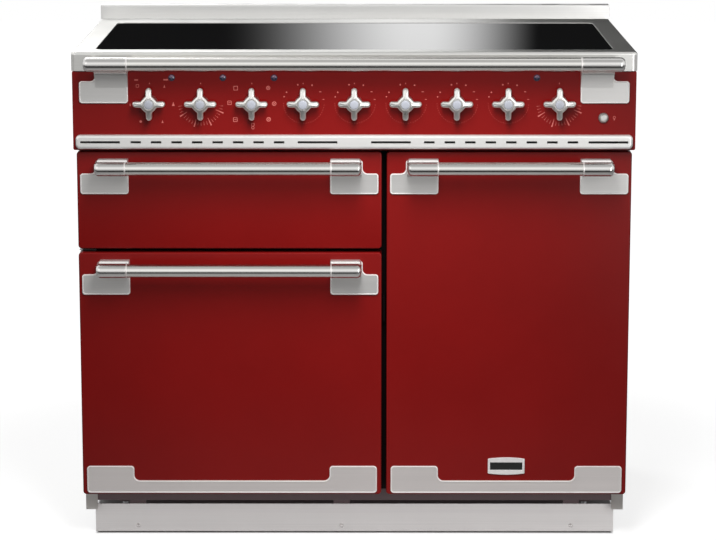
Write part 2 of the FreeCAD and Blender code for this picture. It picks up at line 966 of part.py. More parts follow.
def make_fascia_panel():
    body = new_body("fascia_panel")
    x = (-fascia_half, fascia_half)
    z = (fascia_bottom, hob_under)
    pad(body, "XZ", (fascia_front, frame_front), rectangle(x, z, size.fascia_corner))
    inside = rectangle(inset(x, size.steel_gauge), inset(z, size.steel_gauge))
    pocket(body, "XZ", (fascia_front + size.steel_gauge, frame_front + size.cut_overrun), inside)
    through = (fascia_front - size.cut_overrun, fascia_front + size.steel_gauge + size.cut_overrun)
    stem_hole = size.stem_radius + size.stem_play
    holes = [circle(x_at, knob_level, stem_hole) for x_at in knob_places()]
    holes += [circle(x_at, lamp_level, size.lamp_radius) for x_at in lamp_places()]
    holes.append(circle(button_place, button_level, size.button_radius + size.stem_play))
    pocket(body, "XZ", through, *holes)
    vent_z = (vent_level - size.vent_height, vent_level + size.vent_height)
    reach = trim_half - size.vent_end_margin
    outlets = [
        rectangle((-reach, -size.inner_vent_start), vent_z),
        rectangle((size.inner_vent_start, reach), vent_z),
    ]
    pocket(body, "XZ", through, *outlets)
    return sub_part("fascia_panel", body)


def make_vent_trim():
    body = new_body("vent_trim")
    front = fascia_front - size.trim_depth
    z = (trim_low, trim_low + size.trim_height)
    outline = rectangle((-trim_half, trim_half), z, size.trim_corner)
    pad(body, "XZ", (front, fascia_front), outline)
    round_edges(body, size.trim_edge, lies_at("y", front))
    depth = (front - size.cut_overrun, fascia_front + size.cut_overrun)
    vent_z = (vent_level - size.vent_height / 2, vent_level + size.vent_height / 2)
    starts = [size.inner_vent_start, trim_half - size.vent_end_margin - size.long_vent]
    long_ones = [rectangle((start, start + size.long_vent), vent_z) for start in starts]
    long_ones += [rectangle((-start - size.long_vent, -start), vent_z) for start in starts]
    pocket(body, "XZ", depth, *long_ones)
    near = starts[0] + size.long_vent + size.short_vent_lead
    far = starts[1] - size.short_vent_tail
    for middle in (near, -far):
        x = (middle - size.short_vent / 2, middle + size.short_vent / 2)
        slot = pocket(body, "XZ", depth, rectangle(x, vent_z))
        row_of(body, slot, SHORT_VENTS, (far - near) / (SHORT_VENTS - 1))
    return sub_part("vent_trim", body)


def make_knob(number, x):
    name = "knob_%d" % number
    body = new_body(name)
    height = size.knob_height
    arm_back = size.knob_arm_depth - height
    profile = [
        (0, size.stem_length),
        (size.stem_radius, size.stem_length),
        (size.stem_radius, -size.knob_gap),
        (size.knob_skirt_radius, -size.knob_gap),
        (size.knob_hub_radius, arm_back),
        (size.knob_hub_radius, -height),
        (size.knob_cap_radius, -height),
        (size.knob_cap_radius, -height - size.knob_cap_rise / 2),
        (0, -height - size.knob_cap_rise),
    ]
    turned(body, "XY", profile)
    reach = size.knob_arm_reach - size.knob_arm_half
    half = size.knob_arm_half
    flare = size.knob_flare
    cross = []
    for turn in range(4):
        arm = [(flare, -half), (reach, -half), half_round(reach, half), (flare, half)]
        for corner in arm:
            u, v = plain(corner)
            for _ in range(turn):
                u, v = -v, u
            cross.append(half_round(u, v) if corner[0] == "half" else (u, v))
    pad(body, "XZ", (-height, arm_back), cross)
    round_edges(body, size.knob_edge, lambda edge: lies_at("y", -height)(edge) and edge_outside_hub(edge))
    place(body, x, fascia_front, knob_level)
    return sub_part(name, body)


def edge_outside_hub(edge):
    # the cross's own front edges, which reach past the hub
    far = max(math.hypot(point.X, point.Z) for point in edge.Vertexes)
    return far > SIZES["knob_hub_radius"] + 1e-3


def make_control_switches():
    switches = []
    inner = fascia_front + size.steel_gauge
    half = size.switch_side / 2
    for x in knob_places():
        level = knob_level
        y = (inner, inner + size.switch_depth)
        case = block("switch_case", (x - half, x + half), y, (level - half, level + half))
        bore_start = (x, inner - size.cut_overrun, level)
        length = size.switch_depth + 2 * size.cut_overrun
        bore = rod("switch_bore", "y", bore_start, size.stem_radius + size.shaft_clearance, length)
        switches.append(cut("switch", case, [bore]))
    x = button_place
    level = button_level
    y = (inner + size.button_stem, inner + size.button_stem + size.lamp_body)
    quarter = half / 2
    mount = (x - quarter, x + quarter), (inner, y[1]), (level - quarter, level + quarter)
    case = block("button_case", *mount)
    bore_radius = size.button_radius + size.shaft_clearance
    depth = size.button_stem + size.button_travel + size.cut_overrun
    bore = rod("button_bore", "y", (x, inner - size.cut_overrun, level), bore_radius, depth)
    switches.append(cut("button_switch", case, [bore]))
    return sub_part("control_switches", group("control_switches", switches))


def make_neon_lenses():
    lenses = []
    for x in lamp_places():
        body = new_body("neon_lens")
        profile = [
            (0, size.lamp_body),
            (size.lamp_radius - size.shaft_clearance, size.lamp_body),
            (size.lamp_radius - size.shaft_clearance, 0),
            (size.lamp_radius, 0),
            (size.lamp_radius, -size.lamp_rise / 2),
            (size.lamp_radius / 2, -size.lamp_rise),
            (0, -size.lamp_rise),
        ]
        turned(body, "XY", profile)
        place(body, x, fascia_front, lamp_level)
        lenses.append(body)
    return sub_part("neon_lenses", group("neon_lenses", lenses))


def make_light_button():
    inner = size.button_radius + size.shaft_clearance
    bezel = new_body("button_bezel")
    rim = [
        (inner, 0),
        (size.bezel_radius, 0),
        (size.bezel_radius, -size.bezel_rise / 2),
        ((inner + size.bezel_radius) / 2, -size.bezel_rise),
        (inner, -size.bezel_rise),
    ]
    turned(bezel, "XY", rim)
    place(bezel, button_place, fascia_front, button_level)
    sub_part("button_bezel", bezel)
    button = new_body("light_button")
    front = -size.button_rise
    profile = [
        (0, size.button_stem),
        (size.button_radius, size.button_stem),
        (size.button_radius, front + size.button_travel / 2),
        (size.button_radius - size.button_travel / 2, front),
        (0, front),
    ]
    turned(button, "XY", profile)
    place(button, button_place, fascia_front, button_level)
    sub_part("light_button", button)


# Body of the cooker


def make_side_panels():
    # a channel: the outer sheet with a wide return in front and a narrow one behind
    body = new_body("side_panel")
    gauge = size.steel_gauge
    outline = [
        (body_half, frame_front),
        (body_half, body_back),
        (body_half - size.side_return, body_back),
        (body_half - size.side_return, body_back - gauge),
        (body_half - gauge, body_back - gauge),
        (body_half - gauge, frame_face),
        (body_half - size.side_return, frame_face),
        (body_half - size.side_return, frame_front),
    ]
    pad(body, "XY", (size.side_bottom, hob_under), outline)
    return sub_part("side_panels", group("side_panels", [body, mirrored("side_panel_twin", body)]))


def make_front_frame():
    body = new_body("front_frame")
    x = (size.seat_gap - inner_half, inner_half - size.seat_gap)
    z = (base_top, tray_bottom)
    pad(body, "XZ", (frame_face, frame_back), rectangle(x, z))
    for hole in (left_hole, right_hole, grill_hole):
        around = rectangle(hole[0], hole[1], size.oven_corner)
        pocket(body, "XZ", (frame_face - size.cut_overrun, frame_back + size.cut_overrun), around)
    middle = (left_door_x[1] + right_door_x[0]) / 2
    catch_x = (middle - size.catch_width / 2, middle + size.catch_width / 2)
    catch_low = left_door_z[1] - size.catch_drop
    catch_z = (catch_low, catch_low + size.catch_height)
    pad(body, "XZ", (frame_face - size.catch_reach, frame_face), rectangle(catch_x, catch_z))
    return sub_part("front_frame", body)


def make_back_panel():
    body = new_body("back_panel")
    half = inner_half - size.seat_gap
    y = (body_back - 2 * size.steel_gauge, body_back - size.steel_gauge)
    pad(body, "XZ", y, rectangle((-half, half), (base_top, hob_under)))
    for side in (-1, 1):
        middle = size.back_slot_spread * side
        x = (middle - size.back_slot_length / 2, middle + size.back_slot_length / 2)
        low = hob_under - size.back_slot_drop
        z = (low, low + size.back_slot_height)
        slot = pocket(body, "XZ", (y[0] - size.cut_overrun, y[1] + size.cut_overrun), rectangle(x, z))
        row_of(body, slot, BACK_SLOTS, size.back_slot_pitch, "V_Axis")
    return sub_part("back_panel", body)


def make_terminal_cover():
    # stands on the inner side of the back panel, with its open side to the panel
    body = new_body("terminal_cover")
    middle = body_half - size.terminal_inset
    x = (middle - size.terminal_width / 2, middle + size.terminal_width / 2)
    z = (size.terminal_level, size.terminal_level + size.terminal_height)
    high = body_back - 2 * size.steel_gauge
    y = (high - size.terminal_depth, high)
    pad(body, "XZ", y, rectangle(x, z, size.plate_corner))
    inside = rectangle(inset(x, size.steel_gauge), inset(z, size.steel_gauge), size.plate_corner)
    pocket(body, "XZ", (y[0] + size.steel_gauge, high + size.cut_overrun), inside)
    span = (z[0] - size.cut_overrun, z[0] + size.cut_overrun)
    pocket(body, "XY", span, circle(middle, (y[0] + y[1]) / 2, size.gland_radius))
    return sub_part("terminal_cover", body)


def make_base_frame():
    body = new_body("base_frame")
    half = inner_half - size.seat_gap
    x = (-half, half)
    y = (frame_face + size.seat_gap, body_back - size.steel_gauge - size.seat_gap)
    low = base_low
    pad(body, "XY", (low, base_top), rectangle(x, y))
    floor = rectangle(inset(x, size.steel_gauge), inset(y, size.steel_gauge))
    pocket(body, "XY", (low + size.steel_gauge, base_top + size.cut_overrun), floor)
    foot_y = hob_front + size.plinth_recess + size.foot_setback
    bosses = [circle(foot_place * side, foot_y, size.boss_radius) for side in (-1, 1)]
    pad(body, "XY", (low - size.boss_height, low + size.steel_gauge), *bosses[:1])
    pad(body, "XY", (low - size.boss_height, low + size.steel_gauge), *bosses[1:])
    bore = size.foot_stem_radius + size.shaft_clearance
    holes = [circle(foot_place * side, foot_y, bore) for side in (-1, 1)]
    pocket(body, "XY", (low - size.boss_height - size.cut_overrun, base_top + size.cut_overrun), *holes)
    plinth_back = hob_front + size.plinth_recess + size.steel_gauge
    for place_x in plinth_screw_places():
        bracket_x = (place_x - size.plinth_bracket_width / 2, place_x + size.plinth_bracket_width / 2)
        gauge_y = (plinth_back, plinth_back + size.steel_gauge)
        bracket_z = (size.plinth_lift + size.steel_gauge, low + size.steel_gauge)
        pad(body, "XY", bracket_z, rectangle(bracket_x, gauge_y))
    axle_y = body_back - size.roller_setback
    for side in (-1, 1):
        for cheek in (-1, 1):
            inner = roller_place * side + (size.roller_width / 2 + size.stem_play) * cheek
            outer = inner + size.fork_thickness * cheek
            x_pair = (inner, outer) if cheek > 0 else (outer, inner)
            fork_y = (axle_y - size.fork_depth / 2, axle_y + size.fork_depth / 2)
            fork_low = size.roller_radius - size.axle_radius - size.fork_thickness
            pad(body, "XY", (fork_low, low + size.steel_gauge), rectangle(x_pair, fork_y))
    reach = roller_place + size.roller_width
    bore = size.axle_radius + size.shaft_clearance
    pocket(body, "YZ", (-reach, reach), circle(axle_y, size.roller_radius, bore))
    return sub_part("base_frame", body)


def plinth_screw_places():
    reach = plinth_half - size.plinth_screw_inset
    return [-reach, -size.plinth_middle_screw, reach]


def make_plinth():
    body = new_body("plinth")
    half = plinth_half
    front = hob_front + size.plinth_recess
    gauge = size.steel_gauge
    outline = [
        (-half, front),
        (half, front),
        (half, front + size.plinth_return),
        (half - gauge, front + size.plinth_return),
        (half - gauge, front + gauge),
        (gauge - half, front + gauge),
        (gauge - half, front + size.plinth_return),
        (-half, front + size.plinth_return),
    ]
    pad(body, "XY", (size.plinth_lift, base_low - size.plinth_gap), outline)
    holes = [circle(x, size.plinth_screw_level, size.screw_radius / 2) for x in plinth_screw_places()]
    pocket(body, "XZ", (front - size.cut_overrun, front + gauge + size.cut_overrun), *holes)
    return sub_part("plinth", body)


def make_plinth_screws():
    screws = []
    front = hob_front + size.plinth_recess
    for x in plinth_screw_places():
        body = new_body("plinth_screw")
        shank = size.screw_radius / 2 - size.shaft_clearance
        profile = [
            (0, size.steel_gauge),
            (shank, size.steel_gauge),
            (shank, 0),
            (size.screw_radius, 0),
            (size.screw_radius / 2, -size.screw_head_height),
            (0, -size.screw_head_height),
        ]
        turned(body, "XY", profile)
        place(body, x, front, size.plinth_screw_level)
        screws.append(body)
    return sub_part("plinth_screws", group("plinth_screws", screws))


def make_front_foot(name, side):
    body = new_body(name)
    top = base_top
    profile = [
        (0, 0),
        (size.foot_pad_radius, 0),
        (size.foot_pad_radius, size.foot_pad_height / 2),
        (size.foot_stem_radius, size.foot_pad_height),
        (size.foot_stem_radius, top),
        (0, top),
    ]
    turned(body, "XZ", profile)
    place(body, foot_place * side, hob_front + size.plinth_recess + size.foot_setback, 0)
    return sub_part(name, body)


def make_rear_rollers():
    # two tyres on one axle across the back
    y = body_back - size.roller_setback
    reach = roller_place + size.roller_width
    pieces = [rod("axle", "x", (-reach, y, size.roller_radius), size.axle_radius, 2 * reach)]
    for side in (-1, 1):
        low = roller_place * side - size.roller_width / 2
        tyre = rod("tyre", "x", (low, y, size.roller_radius), size.roller_radius, size.roller_width)
        pieces.append(tyre)
    return sub_part("rear_rollers", fuse("rear_rollers", pieces))


# Ovens


def make_cavity(name, hole, depth, shelves, start, pitch, fan=True):
    # a pressed box with a front flange and shelf runners along both sides
    body = new_body(name)
    x, z = hole
    middle = (x[0] + x[1]) / 2
    half = (x[1] - x[0]) / 2
    local = (-half, half)
    gauge = size.steel_gauge
    outer_radius = size.oven_corner + gauge
    outer = rectangle((-half - gauge, half + gauge), (z[0] - gauge, z[1] + gauge), outer_radius)
    pad(body, "XZ", (frame_back, frame_back + depth + gauge), outer)
    flange_x = (-half - size.oven_flange, half + size.oven_flange)
    flange_z = (z[0] - size.oven_flange, z[1] + size.oven_flange)
    pad(body, "XZ", (frame_back, frame_back + gauge), rectangle(flange_x, flange_z, size.oven_corner))
    inside = rectangle(local, z, size.oven_corner)
    pocket(body, "XZ", (frame_back - size.cut_overrun, frame_back + depth), inside)
    if fan:
        hole_radius = size.fan_shaft_radius + size.stem_play
        centre = circle(0, (z[0] + z[1]) / 2, hole_radius)
        pocket(body, "XZ", (frame_back + depth - size.cut_overrun, frame_back + depth + 2 * gauge), centre)
    runner_y = (frame_back + size.shelf_front, frame_back + depth)
    level = z[0] + start
    shelf_z = (level, level + size.shelf_thickness)
    for side in (-1, 1):
        wall = half * side
        tip = wall - size.shelf_reach * side
        buried = wall + gauge / 2 * side
        runner_x = (tip, buried) if side > 0 else (buried, tip)
        runner = pad(body, "XZ", runner_y, rectangle(runner_x, shelf_z))
        if shelves > 1:
            row_of(body, runner, shelves, pitch, "V_Axis")
    place(body, middle, 0, 0)
    return sub_part(name, body)


def make_oven_gaskets():
    seals = []
    for hole in (left_hole, right_hole):
        body = new_body("oven_gasket")
        x, z = hole
        wide = size.seal_width
        outer = rectangle(inset(x, -wide), inset(z, -wide), size.oven_corner + wide)
        inner = rectangle(x, z, size.oven_corner)
        pad(body, "XZ", (door_back + size.seat_gap, frame_face), outer, inner)
        seals.append(body)
    return sub_part("oven_gaskets", group("oven_gaskets", seals))


def rack_wires(name, x, y, z):
    # a wire shelf: a rim of four rods with thinner rods from front to back
    rim = size.rack_rim_radius
    pieces = []
    for y_at in (y[0] + rim, y[1] - rim):
        pieces.append(rod(name + "_rim", "x", (x[0], y_at, z + rim), rim, x[1] - x[0]))
    count = int((x[1] - x[0]).number / SIZES["rack_pitch"])
    spread = (x[1] - x[0] - 4 * rim) / count
    for k in range(count + 1):
        edge = k in (0, count)
        radius = size.rack_side_radius if edge else size.wire_radius
        start = (x[0] + 2 * rim + spread * k, y[0] + rim, z + rim)
        pieces.append(rod(name + "_wire", "y", start, radius, y[1] - y[0] - 2 * rim))
    return fuse(name, pieces)


def shelf_level(hole, start, pitch, number):
    return hole[1][0] + start + pitch * number + size.shelf_thickness + size.seat_gap


def make_wire_racks():
    racks = []
    rack_back = frame_back + oven_depth - size.fan_cover_depth - size.cut_overrun
    y_span = (frame_back + size.shelf_front, rack_back)
    for hole, numbers in ((left_hole, (0, 2)), (right_hole, (1, 3, 5))):
        for number in numbers:
            x = inset(hole[0], size.rack_rim_radius)
            level = shelf_level(hole, size.shelf_start, size.shelf_pitch, number)
            racks.append(rack_wires("rack", x, y_span, level))
    pan_x, pan_y, pan_z = pan_place()
    lift = pan_z[0] + size.steel_gauge + size.seat_gap
    wall = size.pan_corner
    racks.append(rack_wires("trivet", inset(pan_x, wall), inset(pan_y, wall), lift))
    return sub_part("wire_racks", group("wire_racks", racks))


def pan_place():
    x = inset(grill_hole[0], size.shelf_reach + size.seat_gap)
    y = (frame_back + size.shelf_front, frame_back + grill_depth - size.pan_back_gap)
    rim = shelf_level(grill_hole, size.grill_shelf_start, 0, 0)
    return x, y, (rim - size.pan_depth + 2 * size.steel_gauge, rim + size.steel_gauge)


def make_grill_pan():
    # hangs between the runners by the lips along its sides
    body = new_body("grill_pan")
    x, y, z = pan_place()
    gauge = size.steel_gauge
    pad(body, "XY", z, rectangle(x, y, size.pan_corner))
    inside = rectangle(inset(x, gauge), inset(y, gauge), size.pan_corner)
    pocket(body, "XY", (z[0] + gauge, z[1] + size.cut_overrun), inside)
    lip_x = inset(x, -size.shelf_reach + size.steel_gauge)
    lip = rectangle(lip_x, inset(y, size.pan_corner))
    hollow = rectangle(inset(x, gauge), inset(y, size.pan_corner + gauge))
    pad(body, "XY", (z[1] - gauge, z[1]), lip, hollow)
    return sub_part("grill_pan", body)


def fan_centre(hole):
    return (hole[0][0] + hole[0][1]) / 2, (hole[1][0] + hole[1][1]) / 2


def make_fan(name, hole):
    # a back plate with straight blades round its rim, on a hub and shaft
    body = new_body(name)
    wall = frame_back + oven_depth
    gauge = size.steel_gauge
    plate_back = -size.fan_gap
    plate_front = plate_back - gauge
    tip = plate_front - size.fan_blade_depth
    shaft_end = gauge + size.motor_length / 2
    profile = [
        (0, shaft_end),
        (size.fan_shaft_radius, shaft_end),
        (size.fan_shaft_radius, plate_back),
        (size.fan_radius, plate_back),
        (size.fan_radius, plate_front),
        (size.fan_hub_radius, plate_front),
        (size.fan_hub_radius / 2, tip),
        (0, tip),
    ]
    turned(body, "XY", profile)
    half = size.fan_blade_thickness / 2
    low = size.fan_radius - size.fan_blade_length
    blade = pad(body, "XZ", (tip, plate_front), rectangle((low, size.fan_radius - half), (-half, half)))
    ring_of(body, blade, FAN_BLADES)
    x, z = fan_centre(hole)
    place(body, x, wall, z)
    return sub_part(name, body)


def make_fan_covers():
    covers = []
    wall = frame_back + oven_depth
    gauge = size.steel_gauge
    for hole in (left_hole, right_hole):
        body = new_body("fan_cover")
        half = size.fan_cover_side / 2
        square = rectangle((-half, half), (-half, half), size.fan_cover_corner)
        pad(body, "XZ", (-size.fan_cover_depth, 0), square)
        within = (gauge - half, half - gauge)
        inner = rectangle(within, within, size.fan_cover_corner - gauge)
        pocket(body, "XZ", (gauge - size.fan_cover_depth, size.cut_overrun), inner)
        slot_half = size.fan_cover_slot / 4
        slot = rectangle((size.fan_hub_radius + gauge, size.fan_radius), (-slot_half, slot_half))
        front = (-size.fan_cover_depth - size.cut_overrun, -size.fan_cover_depth + size.cut_overrun)
        opening = pocket(body, "XZ", front, slot)
        ring_of(body, opening, COVER_SLOTS)
        x, z = fan_centre(hole)
        place(body, x, wall, z)
        covers.append(body)
    return sub_part("fan_covers", group("fan_covers", covers))


def make_fan_motors():
    motors = []
    wall = frame_back + oven_depth + size.steel_gauge
    for hole in (left_hole, right_hole):
        x, z = fan_centre(hole)
        case = rod("motor_case", "y", (x, wall, z), size.motor_radius, size.motor_length)
        bore_radius = size.fan_shaft_radius + size.shaft_clearance
        bore = rod("motor_bore", "y", (x, wall - size.cut_overrun, z), bore_radius, size.motor_length)
        motors.append(cut("fan_motor", case, [bore]))
    return sub_part("fan_motors", group("fan_motors", motors))


def make_heating_elements():
    elements = []
    wall = frame_back + oven_depth
    for hole in (left_hole, right_hole):
        x, z = fan_centre(hole)
        ring = doc.addObject("Part::Torus", "ring_element")
        ring.Placement = FreeCAD.Placement(vector(), FreeCAD.Rotation(vector(1, 0, 0), 90))
        bind(ring, "Radius1", size.ring_radius)
        bind(ring, "Radius2", size.element_radius)
        place(ring, x, wall - size.fan_cover_depth / 2, z)
        legs = [ring]
        for side in (-1, 1):
            start = (x + size.fan_hub_radius * side, wall - size.fan_cover_depth / 2, z - size.ring_radius)
            legs.append(rod("ring_leg", "y", start, size.element_radius, size.fan_cover_depth / 2))
        elements.append(fuse("fan_element", legs))
    elements.append(grill_element())
    return sub_part("heating_elements", group("heating_elements", elements))


def grill_element():
    # straight runs from back to front, joined by half rings at alternate ends
    x, z = grill_hole
    middle = (x[0] + x[1]) / 2
    level = z[1] - size.grill_element_drop
    back_y = frame_back + grill_depth
    y = (frame_back + size.grill_element_inset, back_y - size.grill_element_inset)
    runs = 2 * GRILL_LOOPS
    pieces = []
    for k in range(runs):
        x_at = middle + size.grill_loop * (k - (runs - 1) / 2)
        end = back_y if k in (0, runs - 1) else y[1]
        pieces.append(rod("grill_run", "y", (x_at, y[0], level), size.element_radius, end - y[0]))
        if k < runs - 1:
            bow = doc.addObject("Part::Torus", "grill_bow")
            bow.Angle3 = 180
            turn = FreeCAD.Rotation(vector(0, 0, 1), 180 if k % 2 == 0 else 0)
            bow.Placement = FreeCAD.Placement(vector(), turn)
            bind(bow, "Radius1", size.grill_loop / 2)
            bind(bow, "Radius2", size.element_radius)
            place(bow, x_at + size.grill_loop / 2, y[0] if k % 2 == 0 else y[1], level)
            pieces.append(bow)
    return fuse("grill_element", pieces)


# Doors


def make_door_panel(name, x, z, pin_x=None):
    # a deep pressed pan, open to the back
    body = new_body(name)
    pan_back = door_back - size.steel_gauge
    pad(body, "XZ", (door_front, pan_back), rectangle(x, z, size.door_corner))
    round_edges(body, size.door_edge, lies_at("y", door_front))
    gauge = size.steel_gauge
    inside = rectangle(inset(x, gauge), inset(z, gauge), size.door_corner - gauge)
    pocket(body, "XZ", (door_front + gauge, door_back + size.cut_overrun), inside)
    if pin_x is not None:
        bore = size.hinge_pin_radius + size.shaft_clearance
        span = (z[0] - size.cut_overrun, z[1] + size.cut_overrun)
        pocket(body, "XY", span, circle(pin_x, door_back - size.hinge_depth, bore))
    else:
        for arm_x in grill_arm_places():
            notch_y = (grill_axis()[0] - size.grill_arm_half - size.grill_arm_play, door_back)
            notch_z = (z[0] - size.cut_overrun, z[0] + size.cut_overrun)
            notch_x = inset(arm_x, -size.grill_arm_play)
            pocket(body, "XY", notch_z, rectangle(notch_x, notch_y))
    return sub_part(name, body)


def make_door_liner(name, x, z, pin_x=None):
    # the inner sheet: a plate over the pan's edge, a lip inside the pan and a raised field
    body = new_body(name)
    gauge = size.steel_gauge
    plate = (door_back - gauge, door_back)
    pad(body, "XZ", plate, rectangle(x, z, size.door_corner))
    gap = gauge + size.seat_gap
    lip = size.liner_lip
    outer = rectangle(inset(x, gap), inset(z, gap), size.door_corner)
    inner = rectangle(inset(x, gap + gauge), inset(z, gap + gauge), size.door_corner)
    pad(body, "XZ", (plate[0] - lip, plate[0]), outer, inner)
    field_x = inset(x, size.oven_side_margin + size.liner_corner)
    field = rectangle(field_x, inset(z, size.oven_end_margin + size.liner_corner), size.liner_corner)
    pad(body, "XZ", (door_back, door_back + size.liner_rise), field)
    if pin_x is not None:
        side = size.hinge_pin_radius + size.hinge_inset
        span_z = (z[0] - size.cut_overrun, z[1] + size.cut_overrun)
        relief_y = (plate[0] - lip - size.cut_overrun, plate[0])
        pocket(body, "XY", span_z, rectangle((pin_x - side, pin_x + side), relief_y))
        return sub_part(name, body)
    axis_y, axis_z = grill_axis()
    play = size.grill_arm_play
    for arm_x in grill_arm_places():
        for cheek in (-1, 1):
            near = arm_x[0] - play if cheek < 0 else arm_x[1] + play
            far = near + size.cheek_thickness * cheek
            cheek_x = (far, near) if cheek < 0 else (near, far)
            reach = size.grill_hinge_rise - gauge - size.seat_gap
            cheek_y = (axis_y - reach, plate[1])
            cheek_z = (axis_z - reach, axis_z + 2 * size.grill_hinge_rise)
            pad(body, "YZ", cheek_x, rectangle(cheek_y, cheek_z))
        slot_x = inset(arm_x, -play)
        slot_z = (z[0] - size.cut_overrun, axis_z + size.grill_arm_half + play)
        slot_y = (plate[0] - lip - size.cut_overrun, plate[1] + size.cut_overrun)
        pocket(body, "YZ", slot_x, rectangle(slot_y, slot_z))
        bore = size.hinge_pin_radius + size.shaft_clearance
        reach = size.cheek_thickness + play + size.cut_overrun
        pocket(body, "YZ", (arm_x[0] - reach, arm_x[1] + reach), circle(axis_y, axis_z, bore))
    return sub_part(name, body)


def grill_axis():
    return door_front + size.grill_hinge_rise, grill_door_z[0] + size.grill_hinge_rise


def grill_arm_places():
    near = left_door_x[0] + size.grill_hinge_inset
    far = left_door_x[1] - size.grill_hinge_inset
    return [(near, near + size.grill_arm), (far - size.grill_arm, far)]


def pin_place(x, side):
    return x[0] + size.hinge_inset if side < 0 else x[1] - size.hinge_inset


def make_door_hinges():
    # leaves with upright pins for the two ovens, and arms with a cross pin for the grill door
    pieces = []
    pin_y = door_back - size.hinge_depth
    for x, z, side in ((left_door_x, left_door_z, -1), (right_door_x, right_door_z, 1)):
        pin_x = pin_place(x, side)
        near = x[0] if side < 0 else x[1] - size.hinge_leaf_width
        leaf_x = (near, near + size.hinge_leaf_width)
        leaf_y = (pin_y - size.hinge_inset, frame_front)
        for end, level in ((1, z[1] + size.hinge_leaf_gap), (-1, z[0] - size.hinge_leaf_gap)):
            leaf_z = (level, level + size.hinge_leaf) if end > 0 else (level - size.hinge_leaf, level)
            leaf = block("hinge_leaf", leaf_x, leaf_y, leaf_z)
            start_z = level - size.hinge_pin_length if end > 0 else level - size.hinge_leaf
            length = size.hinge_pin_length + size.hinge_leaf
            pin = rod("hinge_pin", "z", (pin_x, pin_y, start_z), size.hinge_pin_radius, length)
            pieces.append(fuse("door_hinge", [leaf, pin]))
    axis_y, axis_z = grill_axis()
    for arm_x in grill_arm_places():
        arm_z = (axis_z - size.grill_arm_half, axis_z + size.grill_arm_half)
        arm = block("grill_arm", arm_x, (axis_y, frame_face), arm_z)
        eye = rod("grill_arm_eye", "x", (arm_x[0], axis_y, axis_z), size.grill_arm_half, size.grill_arm)
        middle = (arm_x[0] + arm_x[1]) / 2
        start = (middle - size.grill_pin_length / 2, axis_y, axis_z)
        pin = rod("grill_pin", "x", start, size.hinge_pin_radius, size.grill_pin_length)
        pieces.append(fuse("grill_hinge", [arm, eye, pin]))
    return sub_part("door_hinges", group("door_hinges", pieces))


def make_foot_trim(name, x, z):
    # the bright strip along the foot of a door, with a tall block at each end
    body = new_body(name)
    left, right = inset(x, size.foot_trim_inset)
    low = z[0] + size.foot_trim_rise
    high = low + size.foot_trim_height
    band = low + size.foot_trim_band
    width = size.handle_plate_width
    radius = size.foot_trim_radius
    outline = [
        (left, low, radius),
        (right, low, radius),
        (right, high, radius),
        (right - width, high, radius),
        (right - width, band, size.foot_trim_notch),
        (left + width, band, size.foot_trim_notch),
        (left + width, high, radius),
        (left, high, radius),
    ]
    pad(body, "XZ", (door_front - size.foot_trim_thickness, door_front), outline)
    return sub_part(name, body)


def make_badge_plate():
    body = new_body("badge_plate")
    half = size.badge_width / 2
    tall = size.badge_height / 2
    x = (right_middle - half, right_middle + half)
    middle_z = right_door_z[0] + size.badge_lift
    z = (middle_z - tall, middle_z + tall)
    front = door_front - size.badge_thickness
    pad(body, "XZ", (front, door_front), rectangle(x, z, size.badge_corner))
    centre = rectangle(inset(x, size.badge_rim), inset(z, size.badge_rim))
    pocket(body, "XZ", (front - size.cut_overrun, front + size.badge_recess), centre)
    return sub_part("badge_plate", body)


def make_doors():
    make_door_panel("grill_door_panel", left_door_x, grill_door_z)
    make_door_liner("grill_door_liner", left_door_x, grill_door_z)
    make_door_handle("grill_door", left_door_x, grill_door_z)
    for name, x, z, side in (
        ("left_door", left_door_x, left_door_z, -1),
        ("right_door", right_door_x, right_door_z, 1),
    ):
        pin_x = pin_place(x, side)
        make_door_panel(name + "_panel", x, z, pin_x)
        make_door_liner(name + "_liner", x, z, pin_x)
        make_door_handle(name, x, z)
        make_foot_trim(name + "_trim", x, z)
    make_badge_plate()


# The whole cooker


def make_cooker():
    make_hob_surround()
    make_ceramic_glass()
    make_rear_upstand()
    make_induction_coils()
    make_hob_tray()
    make_hob_generators()
    make_hob_rail()
    make_fascia_panel()
    make_vent_trim()
    for number, x in enumerate(knob_places(), 1):
        make_knob(number, x)
    make_control_switches()
    make_neon_lenses()
    make_light_button()
    make_side_panels()
    make_front_frame()
    make_back_panel()
    make_terminal_cover()
    make_base_frame()
    make_plinth()
    make_plinth_screws()
    make_front_foot("left_front_foot", -1)
    make_front_foot("right_front_foot", 1)
    make_rear_rollers()
    make_cavity("left_oven_cavity", left_hole, oven_depth, 4, size.shelf_start, size.shelf_pitch)
    make_cavity("right_oven_cavity", right_hole, oven_depth, 7, size.shelf_start, size.shelf_pitch)
    make_cavity("grill_cavity", grill_hole, grill_depth, 1, size.grill_shelf_start, 0, False)
    make_oven_gaskets()
    make_wire_racks()
    make_grill_pan()
    make_fan("left_oven_fan", left_hole)
    make_fan("right_oven_fan", right_hole)
    make_fan_covers()
    make_fan_motors()
    make_heating_elements()
    make_doors()
    make_door_hinges()


def write_parts():
    doc.recompute()
    failed = [piece.Name for piece in doc.Objects if {"Invalid", "Error"} & set(piece.State)]
    if failed:
        raise RuntimeError("these did not build: " + ", ".join(failed))
    for piece in sub_parts:
        if piece.Shape.isNull() or not piece.Shape.isValid():
            raise RuntimeError(piece.Label + " has no valid shape")
    os.makedirs("parts", exist_ok=True)
    for piece in sub_parts:
        piece.Shape.exportStep(os.path.join("parts", piece.Label + ".step"))
    print("wrote %d parts" % len(sub_parts))


make_cooker()
write_parts()
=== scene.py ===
import math

import bmesh
import bpy
from mathutils import Matrix, Vector


